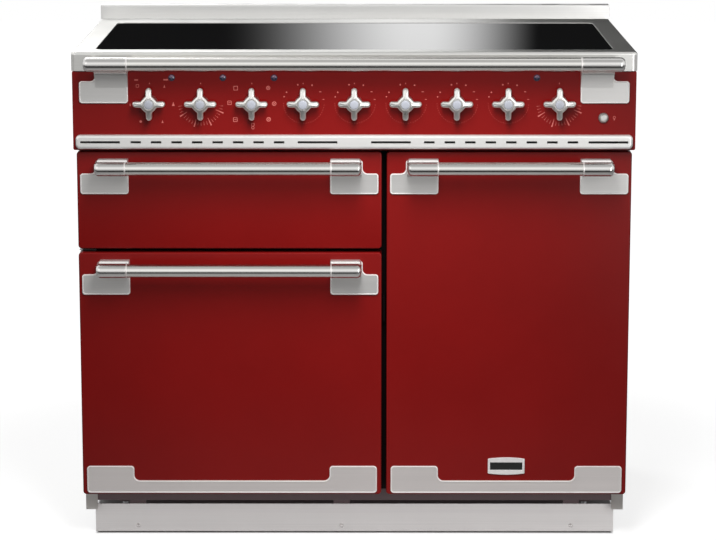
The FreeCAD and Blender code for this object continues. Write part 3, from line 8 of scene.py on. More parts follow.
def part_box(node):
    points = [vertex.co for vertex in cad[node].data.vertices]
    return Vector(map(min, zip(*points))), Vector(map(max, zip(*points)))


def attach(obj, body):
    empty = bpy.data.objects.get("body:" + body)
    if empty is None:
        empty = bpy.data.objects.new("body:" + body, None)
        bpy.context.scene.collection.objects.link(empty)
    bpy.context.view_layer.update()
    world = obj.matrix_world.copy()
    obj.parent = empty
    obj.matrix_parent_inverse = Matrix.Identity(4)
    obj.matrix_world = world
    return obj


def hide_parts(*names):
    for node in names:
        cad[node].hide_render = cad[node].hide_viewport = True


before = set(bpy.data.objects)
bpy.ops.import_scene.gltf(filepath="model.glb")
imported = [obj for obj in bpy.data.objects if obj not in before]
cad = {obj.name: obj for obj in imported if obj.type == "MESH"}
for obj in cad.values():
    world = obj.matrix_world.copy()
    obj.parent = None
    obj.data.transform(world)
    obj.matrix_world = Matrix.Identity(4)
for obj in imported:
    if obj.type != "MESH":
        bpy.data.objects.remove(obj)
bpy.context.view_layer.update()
print("range cooker: frame loaded,", len(cad), "steel, glass and enamel parts")

# Places taken from the frame, in metres
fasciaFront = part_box("vent_trim")[1].y          # the enamel front of the control panel
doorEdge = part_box("right_door_panel")[1].x      # the outer edge of the tall door
doors = ("grill_door", "left_door", "right_door")
knobNumbers = range(1, 10)
skin = 0.00012                                   # thickness of printed ink


def boxMiddle(name):
    low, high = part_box(name)
    return (low + high) / 2


def onFascia(name):
    # a part's middle, brought to the front of the control panel
    centre = boxMiddle(name)
    return Vector((centre.x, fasciaFront, centre.z))


def shade(red, green, blue):
    # a screen colour, 0 to 255, as the shader's linear one
    def linear(value):
        value = value / 255
        return value / 12.92 if value <= 0.04045 else ((value + 0.055) / 1.055) ** 2.4

    return (linear(red), linear(green), linear(blue), 1.0)


def toned(colour, factor, lift=0.0):
    return tuple(min(1.0, factor * part + lift) for part in colour[:3]) + (1,)


def newObject(name, data):
    made = bpy.data.objects.new(name, data)
    bpy.context.scene.collection.objects.link(made)
    return made


# Small helpers for node trees

def addNode(tree, kind, **settings):
    node = tree.nodes.new(kind)
    for key, value in settings.items():
        setattr(node, key, value)
    return node


def feed(tree, socket, value):
    # a socket takes a plain value or another node's output
    if isinstance(value, bpy.types.NodeSocket):
        tree.links.new(value, socket)
    else:
        socket.default_value = value


def wired(tree, kind, inputs, **settings):
    # a new node with its inputs fed, by name or by place; gives its outputs
    node = addNode(tree, kind, **settings)
    for key, value in inputs.items():
        feed(tree, node.inputs[key], value)
    return node.outputs


def calc(tree, operation, first, second=0.0, clamp=False):
    return wired(tree, "ShaderNodeMath", {0: first, 1: second}, operation=operation, use_clamp=clamp)[0]


def times(tree, first, *others):
    for other in others:
        first = calc(tree, "MULTIPLY", first, other)
    return first


def plus(tree, first, second):
    return calc(tree, "ADD", first, second)


def minus(tree, first, second):
    return calc(tree, "SUBTRACT", first, second)


def blendColours(tree, amount, first, second):
    return wired(tree, "ShaderNodeMix", {0: amount, 6: first, 7: second}, data_type="RGBA")[2]


def spread(tree, value, low, high, newLow=0.0, newHigh=1.0, smooth=False):
    return wired(tree, "ShaderNodeMapRange", {0: value, 1: low, 2: high, 3: newLow, 4: newHigh}, clamp=True,
                 interpolation_type="SMOOTHSTEP" if smooth else "LINEAR")[0]


def varied(tree, noise, newLow, newHigh):
    # nearly all of a noise lies between 0.3 and 0.7
    return spread(tree, noise, 0.3, 0.7, newLow, newHigh)


def joinAxes(tree, x, y, z):
    return wired(tree, "ShaderNodeCombineXYZ", {0: x, 1: y, 2: z})[0]


def splitAxes(tree, vector):
    return tuple(wired(tree, "ShaderNodeSeparateXYZ", {0: vector}))


def ownPlace(tree, output="Object"):
    return addNode(tree, "ShaderNodeTexCoord").outputs[output]


def ownAxes(tree):
    return splitAxes(tree, ownPlace(tree))


def addNoise(tree, scale, detail=2.0, roughness=0.5, place=None):
    place = ownPlace(tree) if place is None else place
    return wired(tree, "ShaderNodeTexNoise", {"Vector": place, "Scale": scale, "Detail": detail,
                                              "Roughness": roughness})["Fac"]


def addDots(tree, scale, core, rim):
    # round specks, full up to their core's radius and gone at their rim's
    cells = wired(tree, "ShaderNodeTexVoronoi", {"Vector": ownPlace(tree), "Scale": scale})
    return spread(tree, cells["Distance"], core, rim, 1.0, 0.0)


# Effects that several finishes share

def newGroup(name, inputs, outputs):
    # inputs have their default values; every output is a number but the normal
    tree = bpy.data.node_groups.new(name, "ShaderNodeTree")
    for label, value in inputs.items():
        kind = "NodeSocketVector" if isinstance(value, tuple) else "NodeSocketFloat"
        tree.interface.new_socket(label, in_out="INPUT", socket_type=kind).default_value = value
    for label in outputs:
        kind = "NodeSocketVector" if label == "Normal" else "NodeSocketFloat"
        tree.interface.new_socket(label, in_out="OUTPUT", socket_type=kind)
    return tree, addNode(tree, "NodeGroupInput").outputs, addNode(tree, "NodeGroupOutput").inputs


wearAndGlintSizes = {"gain": 3.5, "patches": 90, "broken": (0.35, 0.65), "least": 0.45}
lineSizes = {"fine": 1.0, "detail": 5, "roughness": 0.65, "coarse": 0.12, "fineShare": 0.7}


def makeEdgeWear():
    # edges made lighter, partly as rubbed wear and partly as a painted highlight along them, and a normal that rounds
    # them slightly
    tree, given, result = newGroup("edgeWearAndGlint", {"Radius": 0.0012, "Amount": 1.0}, ("Mask", "Normal"))
    bevel = wired(tree, "ShaderNodeBevel", {"Radius": given["Radius"]}, samples=4)[0]
    normal = addNode(tree, "ShaderNodeNewGeometry").outputs["Normal"]
    facing = wired(tree, "ShaderNodeVectorMath", {0: bevel, 1: normal}, operation="DOT_PRODUCT")["Value"]
    rim = calc(tree, "MULTIPLY", minus(tree, 1.0, facing), wearAndGlintSizes["gain"], clamp=True)
    broken = spread(tree, addNoise(tree, wearAndGlintSizes["patches"], 3), *wearAndGlintSizes["broken"], wearAndGlintSizes["least"], 1.0)
    feed(tree, result["Mask"], calc(tree, "MULTIPLY", times(tree, rim, broken), given["Amount"], clamp=True))
    feed(tree, result["Normal"], bevel)
    return tree


def makeBrushLines():
    # fine lines of brushed or turned metal, long where Stretch is small
    tree, given, result = newGroup("brushLines", {"Stretch": (4, 900, 900), "Depth": 0.00002}, ("Lines", "Height"))
    place = wired(tree, "ShaderNodeVectorMath", {0: ownPlace(tree), 1: given["Stretch"]}, operation="MULTIPLY")[0]
    fine = addNoise(tree, lineSizes["fine"], lineSizes["detail"], lineSizes["roughness"], place)
    coarse = addNoise(tree, lineSizes["coarse"], place=place)
    both = plus(tree, times(tree, fine, lineSizes["fineShare"]), times(tree, coarse, 1 - lineSizes["fineShare"]))
    feed(tree, result["Lines"], both)
    feed(tree, result["Height"], times(tree, both, given["Depth"]))
    return tree


def makeFineGrain():
    # an even pebbled surface: orange peel, cast texture or moulded grain
    tree, given, result = newGroup("fineGrain", {"Size": 0.002, "Depth": 0.00002}, ("Grain", "Height"))
    grain = addNoise(tree, calc(tree, "DIVIDE", 1.0, given["Size"]))
    feed(tree, result["Grain"], grain)
    feed(tree, result["Height"], times(tree, grain, given["Depth"]))
    return tree


smudgeSizes = {"detail": 6, "roughness": 0.6, "soft": (0.35, 0.7)}


def makeSmudges():
    # broad soft patches of handling and wiping
    tree, given, result = newGroup("smudges", {"Size": 0.12, "Amount": 1.0}, ("Mask",))
    scale = calc(tree, "DIVIDE", 1.0, given["Size"])
    cloud = addNoise(tree, scale, smudgeSizes["detail"], smudgeSizes["roughness"])
    feed(tree, result["Mask"], times(tree, spread(tree, cloud, *smudgeSizes["soft"]), given["Amount"]))
    return tree


edgeWearAndGlint = makeEdgeWear()
brushLines = makeBrushLines()
fineGrain = makeFineGrain()
smudges = makeSmudges()


def placeGroup(tree, group, **values):
    return wired(tree, "ShaderNodeGroup", values, node_tree=group)


# Finishes

def emptyMaterial(name):
    material = bpy.data.materials.new(name)
    material.use_nodes = True
    tree = material.node_tree
    tree.nodes.clear()
    return material, tree, addNode(tree, "ShaderNodeOutputMaterial").inputs["Surface"]


def newFinish(name, **constants):
    # a material with a Principled shader, whose constants are set on its own sockets
    material, tree, surface = emptyMaterial(name)
    shader = addNode(tree, "ShaderNodeBsdfPrincipled")
    tree.links.new(shader.outputs[0], surface)
    for label, value in constants.items():
        shader.inputs[label.replace("_", " ")].default_value = value
    return material, tree, shader


def dress(material, shader, colour, rough, height, normal=None):
    tree = material.node_tree
    relief = {"Strength": 1.0, "Distance": 1.0, "Height": height}
    if normal is not None:
        relief["Normal"] = normal
    bump = wired(tree, "ShaderNodeBump", relief)[0]
    for label, value in (("Base Color", colour), ("Roughness", rough), ("Normal", bump)):
        feed(tree, shader.inputs[label], value)
    return material


enamelTones = {
    "deep": shade(116, 15, 14),
    "warm": shade(125, 17, 16),
    # edge is a lighter pink along the edges: partly worn enamel, partly a painted highlight
    "edge": shade(150, 50, 48),
    "rough": (0.28, 0.31),
    "crown": 0.0030,        # how far a pressed door's middle stands out, for its shading
    "peelSize": 0.0030,
    "peelDepth": 0.000008,
}


def redEnamel(name, panel=None):
    # vitreous enamel; a door's sheet is slightly crowned between its edges
    tones = enamelTones
    material, tree, shader = newFinish(name, Specular_IOR_Level=0.2)
    wearAndGlint = placeGroup(tree, edgeWearAndGlint, Radius=0.0016, Amount=0.5)
    base = blendColours(tree, placeGroup(tree, smudges, Size=0.35)["Mask"], tones["deep"], tones["warm"])
    # the edges turn a lighter pink: partly worn enamel, partly a painted highlight along them
    base = blendColours(tree, wearAndGlint["Mask"], base, tones["edge"])
    rough = spread(tree, placeGroup(tree, smudges, Size=0.08)["Mask"], 0, 1, *tones["rough"])
    height = placeGroup(tree, fineGrain, Size=tones["peelSize"], Depth=tones["peelDepth"])["Height"]
    if panel is not None:
        low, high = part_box(panel)
        across, _, up = ownAxes(tree)
        for axis, index in ((across, 0), (up, 2)):
            centre, half = (low[index] + high[index]) / 2, (high[index] - low[index]) / 2
            off = calc(tree, "DIVIDE", minus(tree, axis, centre), half)
            height = plus(tree, height, times(tree, off, off, -tones["crown"]))
    return dress(material, shader, base, rough, height, wearAndGlint["Normal"])


def turnNormal(tree, normal, start, end):
    return wired(tree, "ShaderNodeVectorTransform", {0: normal}, vector_type="NORMAL", convert_from=start,
                 convert_to=end)[0]


neckShading = {"steep": -0.5, "level": -0.2, "share": 0.8}      # a face's direction along y, and how far it is turned


def softNeck(tree, amount):
    # a bracket's slanted neck runs softly into the upright plate below it
    normal = addNode(tree, "ShaderNodeNewGeometry").outputs["Normal"]
    _, facing, _ = splitAxes(tree, turnNormal(tree, normal, "WORLD", "OBJECT"))
    slanted = spread(tree, facing, neckShading["steep"], neckShading["level"], neckShading["share"], 0.0)
    upright = turnNormal(tree, (0, -1, 0), "OBJECT", "WORLD")
    return wired(tree, "ShaderNodeMix", {0: times(tree, slanted, amount), 4: normal, 5: upright},
                 data_type="VECTOR")[1]


# rim is the near-white tone of steel edges: partly rubbed wear, partly a painted highlight along them
steelTones = {"darker": 0.12, "lighter": 0.08, "smoother": 0.05, "rougher": 0.06, "smudged": 0.04,
              "rim": (0.9, 0.87, 0.85, 1), "turned": (0.5, 0.25)}
collarFinish = {"start": -0.292, "fade": 0.006, "rough": 0.16}      # a bracket is turned smooth in front of this y


def brushedSteel(name, base, stretch=(3, 700, 700), rough=0.3, wearAndGlint=0.5, lineDepth=0.00002, rimRadius=0.0012,
                 contrast=1.0, metal=1.0, turned=False, rounded=True, collared=False):
    # across a flat plate the lines spread light upwards and down, which the turned tangent gives
    tones = steelTones
    amount, rotation = tones["turned"] if turned else (0.0, 0.0)
    material, tree, shader = newFinish(name, Metallic=metal, Anisotropic=amount, Anisotropic_Rotation=rotation)
    lines = placeGroup(tree, brushLines, Stretch=stretch, Depth=lineDepth)
    edge = placeGroup(tree, edgeWearAndGlint, Radius=rimRadius, Amount=wearAndGlint)
    patches = placeGroup(tree, smudges, Size=0.09)["Mask"]
    colour = blendColours(tree, lines["Lines"], toned(base, 1 - tones["darker"] * contrast),
                          toned(base, 1 + tones["lighter"] * contrast))
    # edges turn to the rim tone: partly rubbed wear, partly a painted highlight
    colour = blendColours(tree, edge["Mask"], colour, tones["rim"])
    lined = varied(tree, lines["Lines"], rough - tones["smoother"] * contrast, rough + tones["rougher"] * contrast)
    lined = plus(tree, lined, times(tree, patches, tones["smudged"]))
    normal = edge["Normal"] if rounded else None
    if collared:
        sizes = collarFinish
        _, along, _ = ownAxes(tree)
        front = spread(tree, along, sizes["start"], sizes["start"] + sizes["fade"], 1, 0)
        lined = minus(tree, lined, times(tree, front, rough - sizes["rough"]))
        feed(tree, shader.inputs["Metallic"], spread(tree, front, 0, 1, metal, 1))
        normal = softNeck(tree, minus(tree, 1.0, front))
    return dress(material, shader, colour, lined, lines["Height"], normal)


def paintedSheet(name, tone, wornAndLitEdge, rough, grainSize=0.0016, grainDepth=0.00001, gloss=0.5):
    material, tree, shader = newFinish(name, Specular_IOR_Level=gloss)
    grain = placeGroup(tree, fineGrain, Size=grainSize, Depth=grainDepth)
    edge = placeGroup(tree, edgeWearAndGlint, Radius=0.001, Amount=0.45)
    colour = blendColours(tree, placeGroup(tree, smudges, Size=0.2)["Mask"], tone, toned(tone, 0.88))
    # edges turn to a lighter tone: partly rubbed paint, partly a painted highlight
    colour = blendColours(tree, edge["Mask"], colour, wornAndLitEdge)
    dull = varied(tree, grain["Grain"], rough - 0.06, rough + 0.06)
    return dress(material, shader, colour, dull, grain["Height"], edge["Normal"])


def blackGlass(name):
    # glass ceramic with its faint fleck and a few wiping marks
    material, tree, shader = newFinish(name, IOR=1.5)
    dots = times(tree, addDots(tree, 420, 0.1, 0.22), 0.4)
    colour = blendColours(tree, dots, (0.003, 0.003, 0.0034, 1), (0.014, 0.014, 0.015, 1))
    rough = spread(tree, placeGroup(tree, smudges, Size=0.15)["Mask"], 0, 1, 0.02, 0.045)
    return dress(material, shader, colour, rough, placeGroup(tree, fineGrain, Size=0.03, Depth=0.000002)["Height"])


def speckledEnamel(name):
    # the ovens' easy-clean lining: dark grey-blue with pale specks
    material, tree, shader = newFinish(name, Coat_Weight=0.3, Coat_Roughness=0.12)
    dots = times(tree, addDots(tree, 260, 0.12, 0.28), spread(tree, addNoise(tree, 70), 0.5, 0.56))
    stain = placeGroup(tree, smudges, Size=0.1)["Mask"]
    ground = blendColours(tree, stain, shade(52, 55, 62), shade(40, 41, 46))
    colour = blendColours(tree, dots, ground, shade(170, 172, 178))
    peel = placeGroup(tree, fineGrain, Size=0.003, Depth=0.00003)["Height"]
    edge = placeGroup(tree, edgeWearAndGlint, Radius=0.0015, Amount=0.2)["Normal"]
    return dress(material, shader, colour, spread(tree, stain, 0, 1, 0.26, 0.42), peel, edge)


def softRubber(name, tone, rough):
    # also the ovens' woven seals; dust lies on both
    material, tree, shader = newFinish(name, Specular_IOR_Level=0.4)
    grain = placeGroup(tree, fineGrain, Size=0.0011, Depth=0.00006)
    dust = placeGroup(tree, smudges, Size=0.03, Amount=0.35)["Mask"]
    dull = varied(tree, grain["Grain"], rough - 0.08, rough + 0.12)
    return dress(material, shader, blendColours(tree, dust, tone, toned(tone, 3, 0.05)), dull, grain["Height"])


def tintedLens(name, part, shadedFootHeight=0.003):
    # a moulded lens with painted light: a pale painted highlight over its top and dark blue painted shade below
    material, tree, shader = newFinish(name, Coat_Weight=1.0, Coat_Roughness=0.03)
    low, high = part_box(part)
    ring = placeGroup(tree, fineGrain, Size=0.0016, Depth=0.00008)
    _, _, up = ownAxes(tree)
    depth = spread(tree, up, low.z + shadedFootHeight, high.z, smooth=True)
    dark = blendColours(tree, ring["Grain"], shade(28, 20, 52), shade(44, 34, 74))
    rough = varied(tree, ring["Grain"], 0.12, 0.26)
    return dress(material, shader, blendColours(tree, depth, dark, shade(146, 116, 140)), rough, ring["Height"])


def printedInk(name, dark, light):
    material, tree, shader = newFinish(name, Specular_IOR_Level=0.3)
    grain = placeGroup(tree, fineGrain, Size=0.0009, Depth=0.00001)
    rough = varied(tree, grain["Grain"], 0.4, 0.55)
    return dress(material, shader, blendColours(tree, grain["Grain"], dark, light), rough, grain["Height"])


def hingeSteel(name, bareFrom=0.0065, bareTo=0.0045):
    # blackened leaves, rubbed bare near the outer edge of the oven doors
    material, tree, shader = newFinish(name, Metallic=1.0)
    lines = placeGroup(tree, brushLines, Stretch=(60, 60, 300), Depth=0.00001)
    across, _, _ = ownAxes(tree)
    bare = spread(tree, calc(tree, "ABSOLUTE", across), doorEdge - bareFrom, doorEdge - bareTo)
    colour = blendColours(tree, lines["Lines"], (0.03, 0.028, 0.028, 1), (0.06, 0.056, 0.055, 1))
    colour = blendColours(tree, bare, colour, (0.52, 0.53, 0.54, 1))
    return dress(material, shader, colour, varied(tree, lines["Lines"], 0.38, 0.5), lines["Height"])


def heatedSteel(name):
    # sheathed heating elements, darkened and faintly blue where they glow
    material, tree, shader = newFinish(name, Metallic=1.0)
    patches = placeGroup(tree, smudges, Size=0.05)["Mask"]
    lines = placeGroup(tree, brushLines, Stretch=(120, 120, 120), Depth=0.00003)
    colour = blendColours(tree, patches, shade(92, 84, 78), shade(64, 66, 82))
    return dress(material, shader, colour, varied(tree, lines["Lines"], 0.4, 0.56), lines["Height"])


finishes = {
    "fascia": redEnamel("redEnamelFascia"),
    "grillDoor": redEnamel("redEnamelGrillDoor", "grill_door_panel"),
    "leftDoor": redEnamel("redEnamelLeftDoor", "left_door_panel"),
    "rightDoor": redEnamel("redEnamelRightDoor", "right_door_panel"),
    "brushed": brushedSteel("brushedSteelAcross", (0.74, 0.735, 0.71), wearAndGlint=0.25, lineDepth=0.000003,
                            rimRadius=0.0008),
    "upstand": brushedSteel("brushedSteelUpstand", (0.84, 0.835, 0.82), rough=0.34, wearAndGlint=0.3, lineDepth=0.000004),
    "trim": brushedSteel("brushedSteelVentTrim", (0.9, 0.89, 0.87), rough=0.4, lineDepth=0.000004, metal=0.7,
                         turned=True),
    "brackets": brushedSteel("brushedSteelBrackets", (0.68, 0.67, 0.655), (5, 500, 800), rough=0.38, wearAndGlint=1.0,
                             lineDepth=0.000003, rimRadius=0.003, metal=0.72, rounded=False, collared=True),
    # the rims' steel is near white and half matte: a painted highlight along them, tinted pink as a painted reflection
    # of the red doors
    "rims": brushedSteel("castRimsPaintedHighlight", (0.94, 0.89, 0.87), (40, 90, 90), wearAndGlint=0.6, lineDepth=0.000003, metal=0.4,
                         rounded=False),
    # the shoulders' steel is lighter than the brackets they are cast with: painted light, tinted pink as a painted
    # reflection of the red doors
    "shoulders": brushedSteel("castShouldersPaintedLight", (0.82, 0.79, 0.775), (40, 90, 90), rough=0.36, wearAndGlint=0.9,
                              lineDepth=0.000003, rimRadius=0.0016, metal=0.72, rounded=False),
    # the foot trims' steel is tinted pink: a painted reflection of the red doors
    "footTrims": brushedSteel("footTrimsPaintedRedReflection", (0.70, 0.66, 0.645), (5, 500, 800), rough=0.4, wearAndGlint=1.0,
                              lineDepth=0.000003, rimRadius=0.0024, metal=0.72, turned=True, rounded=False),
    # the plinth's steel is lighter than the steel above it: painted light on the plinth
    "plinth": brushedSteel("brushedSteelPlinthPaintedLight", (0.9, 0.87, 0.86), rough=0.42, wearAndGlint=0.8, lineDepth=0.000005,
                           rimRadius=0.0014, turned=True),
    "bars": brushedSteel("turnedSteelBars", (0.72, 0.71, 0.68), (900, 40, 40), rough=0.15, wearAndGlint=0.3,
                         lineDepth=0.0000002, contrast=0.3, rounded=False),
    # the bezel's steel is much darker than the button's: painted shade in a ring round the button
    "bezel": brushedSteel("turnedBezelPaintedShade", (0.42, 0.41, 0.39), (200, 40, 200), rough=0.28, lineDepth=0.000002),
    "knobs": brushedSteel("satinKnobMetal", (0.8, 0.79, 0.76), (160, 160, 160), wearAndGlint=0.4, lineDepth=0.000006),
    "zinc": brushedSteel("zincSheet", (0.52, 0.53, 0.54), (40, 40, 40), rough=0.42, wearAndGlint=0.3),
    # the base frame's sheet is dark maroon: painted shade under the doors, with a painted reflection of the red doors
    "base": brushedSteel("baseSheetPaintedShade", (0.145, 0.108, 0.112), (30, 60, 60), rough=0.5, wearAndGlint=0.2),
    "chrome": brushedSteel("rackChrome", (0.74, 0.74, 0.74), (90, 90, 90), rough=0.16, wearAndGlint=0.2),
    "fan": brushedSteel("fanSheet", (0.5, 0.5, 0.5), (60, 60, 60), rough=0.4, wearAndGlint=0.6),
    "badge": brushedSteel("badgeRimChrome", (0.97, 0.93, 0.92), (120, 120, 120), rough=0.2, wearAndGlint=0.6,
                          lineDepth=0.000004, metal=0.4),
    "coil": brushedSteel("lacqueredCopper", (0.62, 0.3, 0.14), (500, 500, 60), rough=0.35, wearAndGlint=0.2),
    "caps": paintedSheet("knobCapPearl", shade(166, 169, 178), shade(200, 202, 208), 0.26, grainSize=0.0006),
    "side": paintedSheet("sidePaintGrey", shade(236, 233, 228), shade(240, 238, 234), 0.42),
    "frame": paintedSheet("frameEnamelBlack", shade(16, 11, 12), shade(34, 24, 24), 0.5, gloss=0.1),
    "badgeField": paintedSheet("badgeBlackEnamel", shade(24, 28, 27), shade(60, 60, 60), 0.18),
    # dark navy of the rings round the lenses: painted shade
    "lensShade": paintedSheet("lensShadeNavy", shade(44, 22, 46), shade(70, 44, 72), 0.4),
    "plastic": paintedSheet("mouldedBlack", shade(46, 46, 49), shade(80, 80, 84), 0.48, grainSize=0.0008,
                            grainDepth=0.00003),
    "glass": blackGlass("blackGlassCeramic"),
    "liner": speckledEnamel("speckledLiner"),
    "seal": softRubber("wovenSeal", shade(58, 56, 54), 0.8),
    "tyre": softRubber("tyreRubber", shade(44, 44, 45), 0.62),
    "element": heatedSteel("heatedSteel"),
    "hinges": hingeSteel("hingeSteel"),
    "lens": tintedLens("violetLens", "neon_lenses"),
    "ink": printedInk("printedInk", shade(188, 92, 86), shade(212, 120, 112)),
    "faintInk": printedInk("faintInk", shade(176, 70, 64), shade(196, 88, 82)),
}

finishOf = {
    "fascia": ["fascia_panel"],
    "grillDoor": ["grill_door_panel"],
    "leftDoor": ["left_door_panel"],
    "rightDoor": ["right_door_panel"],
    "brushed": ["hob_surround"],
    "upstand": ["rear_upstand"],
    "trim": ["vent_trim"],
    "brackets": ["hob_rail_brackets"] + [door + "_brackets" for door in doors],
    "footTrims": ["left_door_trim", "right_door_trim"],
    "plinth": ["plinth", "plinth_screws"],
    "bars": ["hob_rail"] + [door + "_handle" for door in doors],
    "bezel": ["button_bezel"],
    "knobs": ["knob_%d" % number for number in knobNumbers] + ["light_button"],
    "zinc": ["back_panel", "hob_tray", "fan_motors", "left_front_foot", "right_front_foot"],
    "hinges": ["door_hinges"],
    "base": ["base_frame"],
    "chrome": ["wire_racks"],
    "fan": ["left_oven_fan", "right_oven_fan"],
    "badge": ["badge_plate"],
    "coil": ["induction_coils"],
    "glass": ["ceramic_glass"],
    "side": ["side_panels"],
    "frame": ["front_frame"],
    "liner": ["left_oven_cavity", "right_oven_cavity", "grill_cavity", "fan_covers", "grill_pan"]
             + [door + "_liner" for door in doors],
    "seal": ["oven_gaskets"],
    "tyre": ["rear_rollers"],
    "plastic": ["hob_generators", "terminal_cover", "control_switches"],
    "element": ["heating_elements"],
    "lens": ["neon_lenses"],
}
for finish, names in finishOf.items():
    for name in names:
        cad[name].data.materials.clear()
        cad[name].data.materials.append(finishes[finish])
unfinished = sorted(set(cad) - {name for names in finishOf.values() for name in names})
print("range cooker: finishes given to", len(cad) - len(unfinished), "parts; none for", unfinished)


# Pieces made here

def meshFrom(shape, name, crease=None):
    # crease is the angle past which an edge stays sharp; without it every face is flat
    bmesh.ops.remove_doubles(shape, verts=shape.verts, dist=1e-7)
    bmesh.ops.recalc_face_normals(shape, faces=shape.faces)
    if crease is not None:
        for edge in shape.edges:
            edge.smooth = edge.calc_face_angle(0.0) < math.radians(crease)
    mesh = bpy.data.meshes.new(name)
    shape.to_mesh(mesh)
    shape.free()
    for face in mesh.polygons:
        face.use_smooth = crease is not None
    return mesh


def addPiece(name, mesh, body):
    piece = newObject(name, mesh)
    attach(piece, body)
    return piece


def newPiece(name, shape, finish, body, crease=None, at=(0, 0, 0)):
    mesh = meshFrom(shape, name, crease)
    mesh.transform(Matrix.Translation(at))
    mesh.materials.append(finishes[finish])
    return addPiece(name, mesh, body)


def bridge(shape, rows, looped=False, closed=True):
    # quads between rows of corners; looped joins the last row to the first, closed joins each row's ends
    count = len(rows[0])
    for row, other in zip(rows, rows[1:] + rows[:1] if looped else rows[1:]):
        for k in range(count if closed else count - 1):
            after = (k + 1) % count
            shape.faces.new((row[k], row[after], other[after], other[k]))


def addRings(shape, rings):
    # skins a row of rings that have the same count of corners and closes both ends by a fan
    rows = [[shape.verts.new(point) for point in ring] for ring in rings]
    bridge(shape, rows)
    count = len(rows[0])
    for row in (rows[0], rows[-1]):
        centre = shape.verts.new(sum((vert.co for vert in row), Vector()) / count)
        for k in range(count):
            shape.faces.new((row[k], row[(k + 1) % count], centre))


def skinned(rings):
    shape = bmesh.new()
    addRings(shape, rings)
    return shape


def turnedPoint(x, z, angle):
    return x * math.cos(angle) - z * math.sin(angle), x * math.sin(angle) + z * math.cos(angle)


def quarterTurn(steps):
    return [math.pi / 2 * k / steps for k in range(steps + 1)]


def circlePoints(radius, sides):
    return [turnedPoint(radius, 0.0, 2 * math.pi * k / sides) for k in range(sides)]


def fitted(points, across, up=None, x=0.0, z=0.0):
    # an outline scaled and then moved
    return [(x + across * a, z + (across if up is None else up) * b) for a, b in points]


def mixed(first, second, share):
    return [(a[0] + (b[0] - a[0]) * share, a[1] + (b[1] - a[1]) * share) for a, b in zip(first, second)]


def ringAt(points, y):
    return [(x, y, z) for x, z in points]


def insetOutline(outline, depth, sharpest=0.35):
    # each corner moves in along the mean of its two sides' normals
    points = []
    for k, (x, z) in enumerate(outline):
        before, after = outline[k - 1], outline[(k + 1) % len(outline)]
        first = Vector((x - before[0], z - before[1])).normalized()
        second = Vector((after[0] - x, after[1] - z)).normalized()
        normal = Vector((-first.y - second.y, first.x + second.x)) / max(1.0 + first.dot(second), sharpest)
        points.append((x + normal.x * depth, z + normal.y * depth))
    return points


# The nine cross knobs, each a cast cross on a skirt, with a pearl cap let into its middle

knobSizes = {
    "reach": 0.029,         # middle to the tip of an arm
    "half": 0.0055,         # half an arm's width
    "flare": 0.0145,        # where the straight slopes between the arms begin
    "blunt": 0.0003,        # how far the corner between two slopes stands out
    "tipSides": 12,
    "height": 0.027,        # front of the cross from the panel
    "droop": 0.0055,        # how far the tips fall back
    "edge": 0.0040,         # rounding of the arms' front edges
    "edgeSteps": 6,
    "armBack": 0.014,
    "backEdge": 0.0014,
    "backSlope": 0.7,
    "grooveOuter": 0.0101,
    "grooveInner": 0.0081,
    "grooveDepth": 0.0024,
    "grooveLean": 0.0004,
    "settle": (0.35, 0.7, 1.0),     # rings between the arms' edge and the groove
    "waist": 0.0112,
    "skirt": 0.0150,
    "skirtRim": 0.0012,
    "skirtRise": 0.0018,
    "skirtCurve": 0.6,
    "skirtSteps": 5,
    "gap": 0.0006,
    "stem": 0.0040,
    "stemLength": 0.0278,
}

capSizes = {
    "radius": 0.0077,
    "rise": 0.0020,         # from the knob's front to the dome's top
    "wall": 0.0006,
    "lift": 0.0001,         # off the groove's floor
    "dome": 0.86,           # share of a plain dome in the shoulder's curve
    "curve": 0.3,
    "steps": 7,
    "sides": 40,
}


def crossOutline(sizes):
    reach, half, flare = sizes["reach"], sizes["half"], sizes["flare"]
    straight, notch = (flare + reach - half) / 2, (flare + half) / 2 + sizes["blunt"]
    arm = [(flare, -half), (straight, -half)]
    for k in range(sizes["tipSides"] + 1):
        x, z = turnedPoint(half, 0.0, -math.pi / 2 + math.pi * k / sizes["tipSides"])
        arm.append((reach - half + x, z))
    arm += [(straight, half), (flare, half), (notch, notch)]
    return [turnedPoint(x, z, turn * math.pi / 2) for turn in range(4) for x, z in arm]


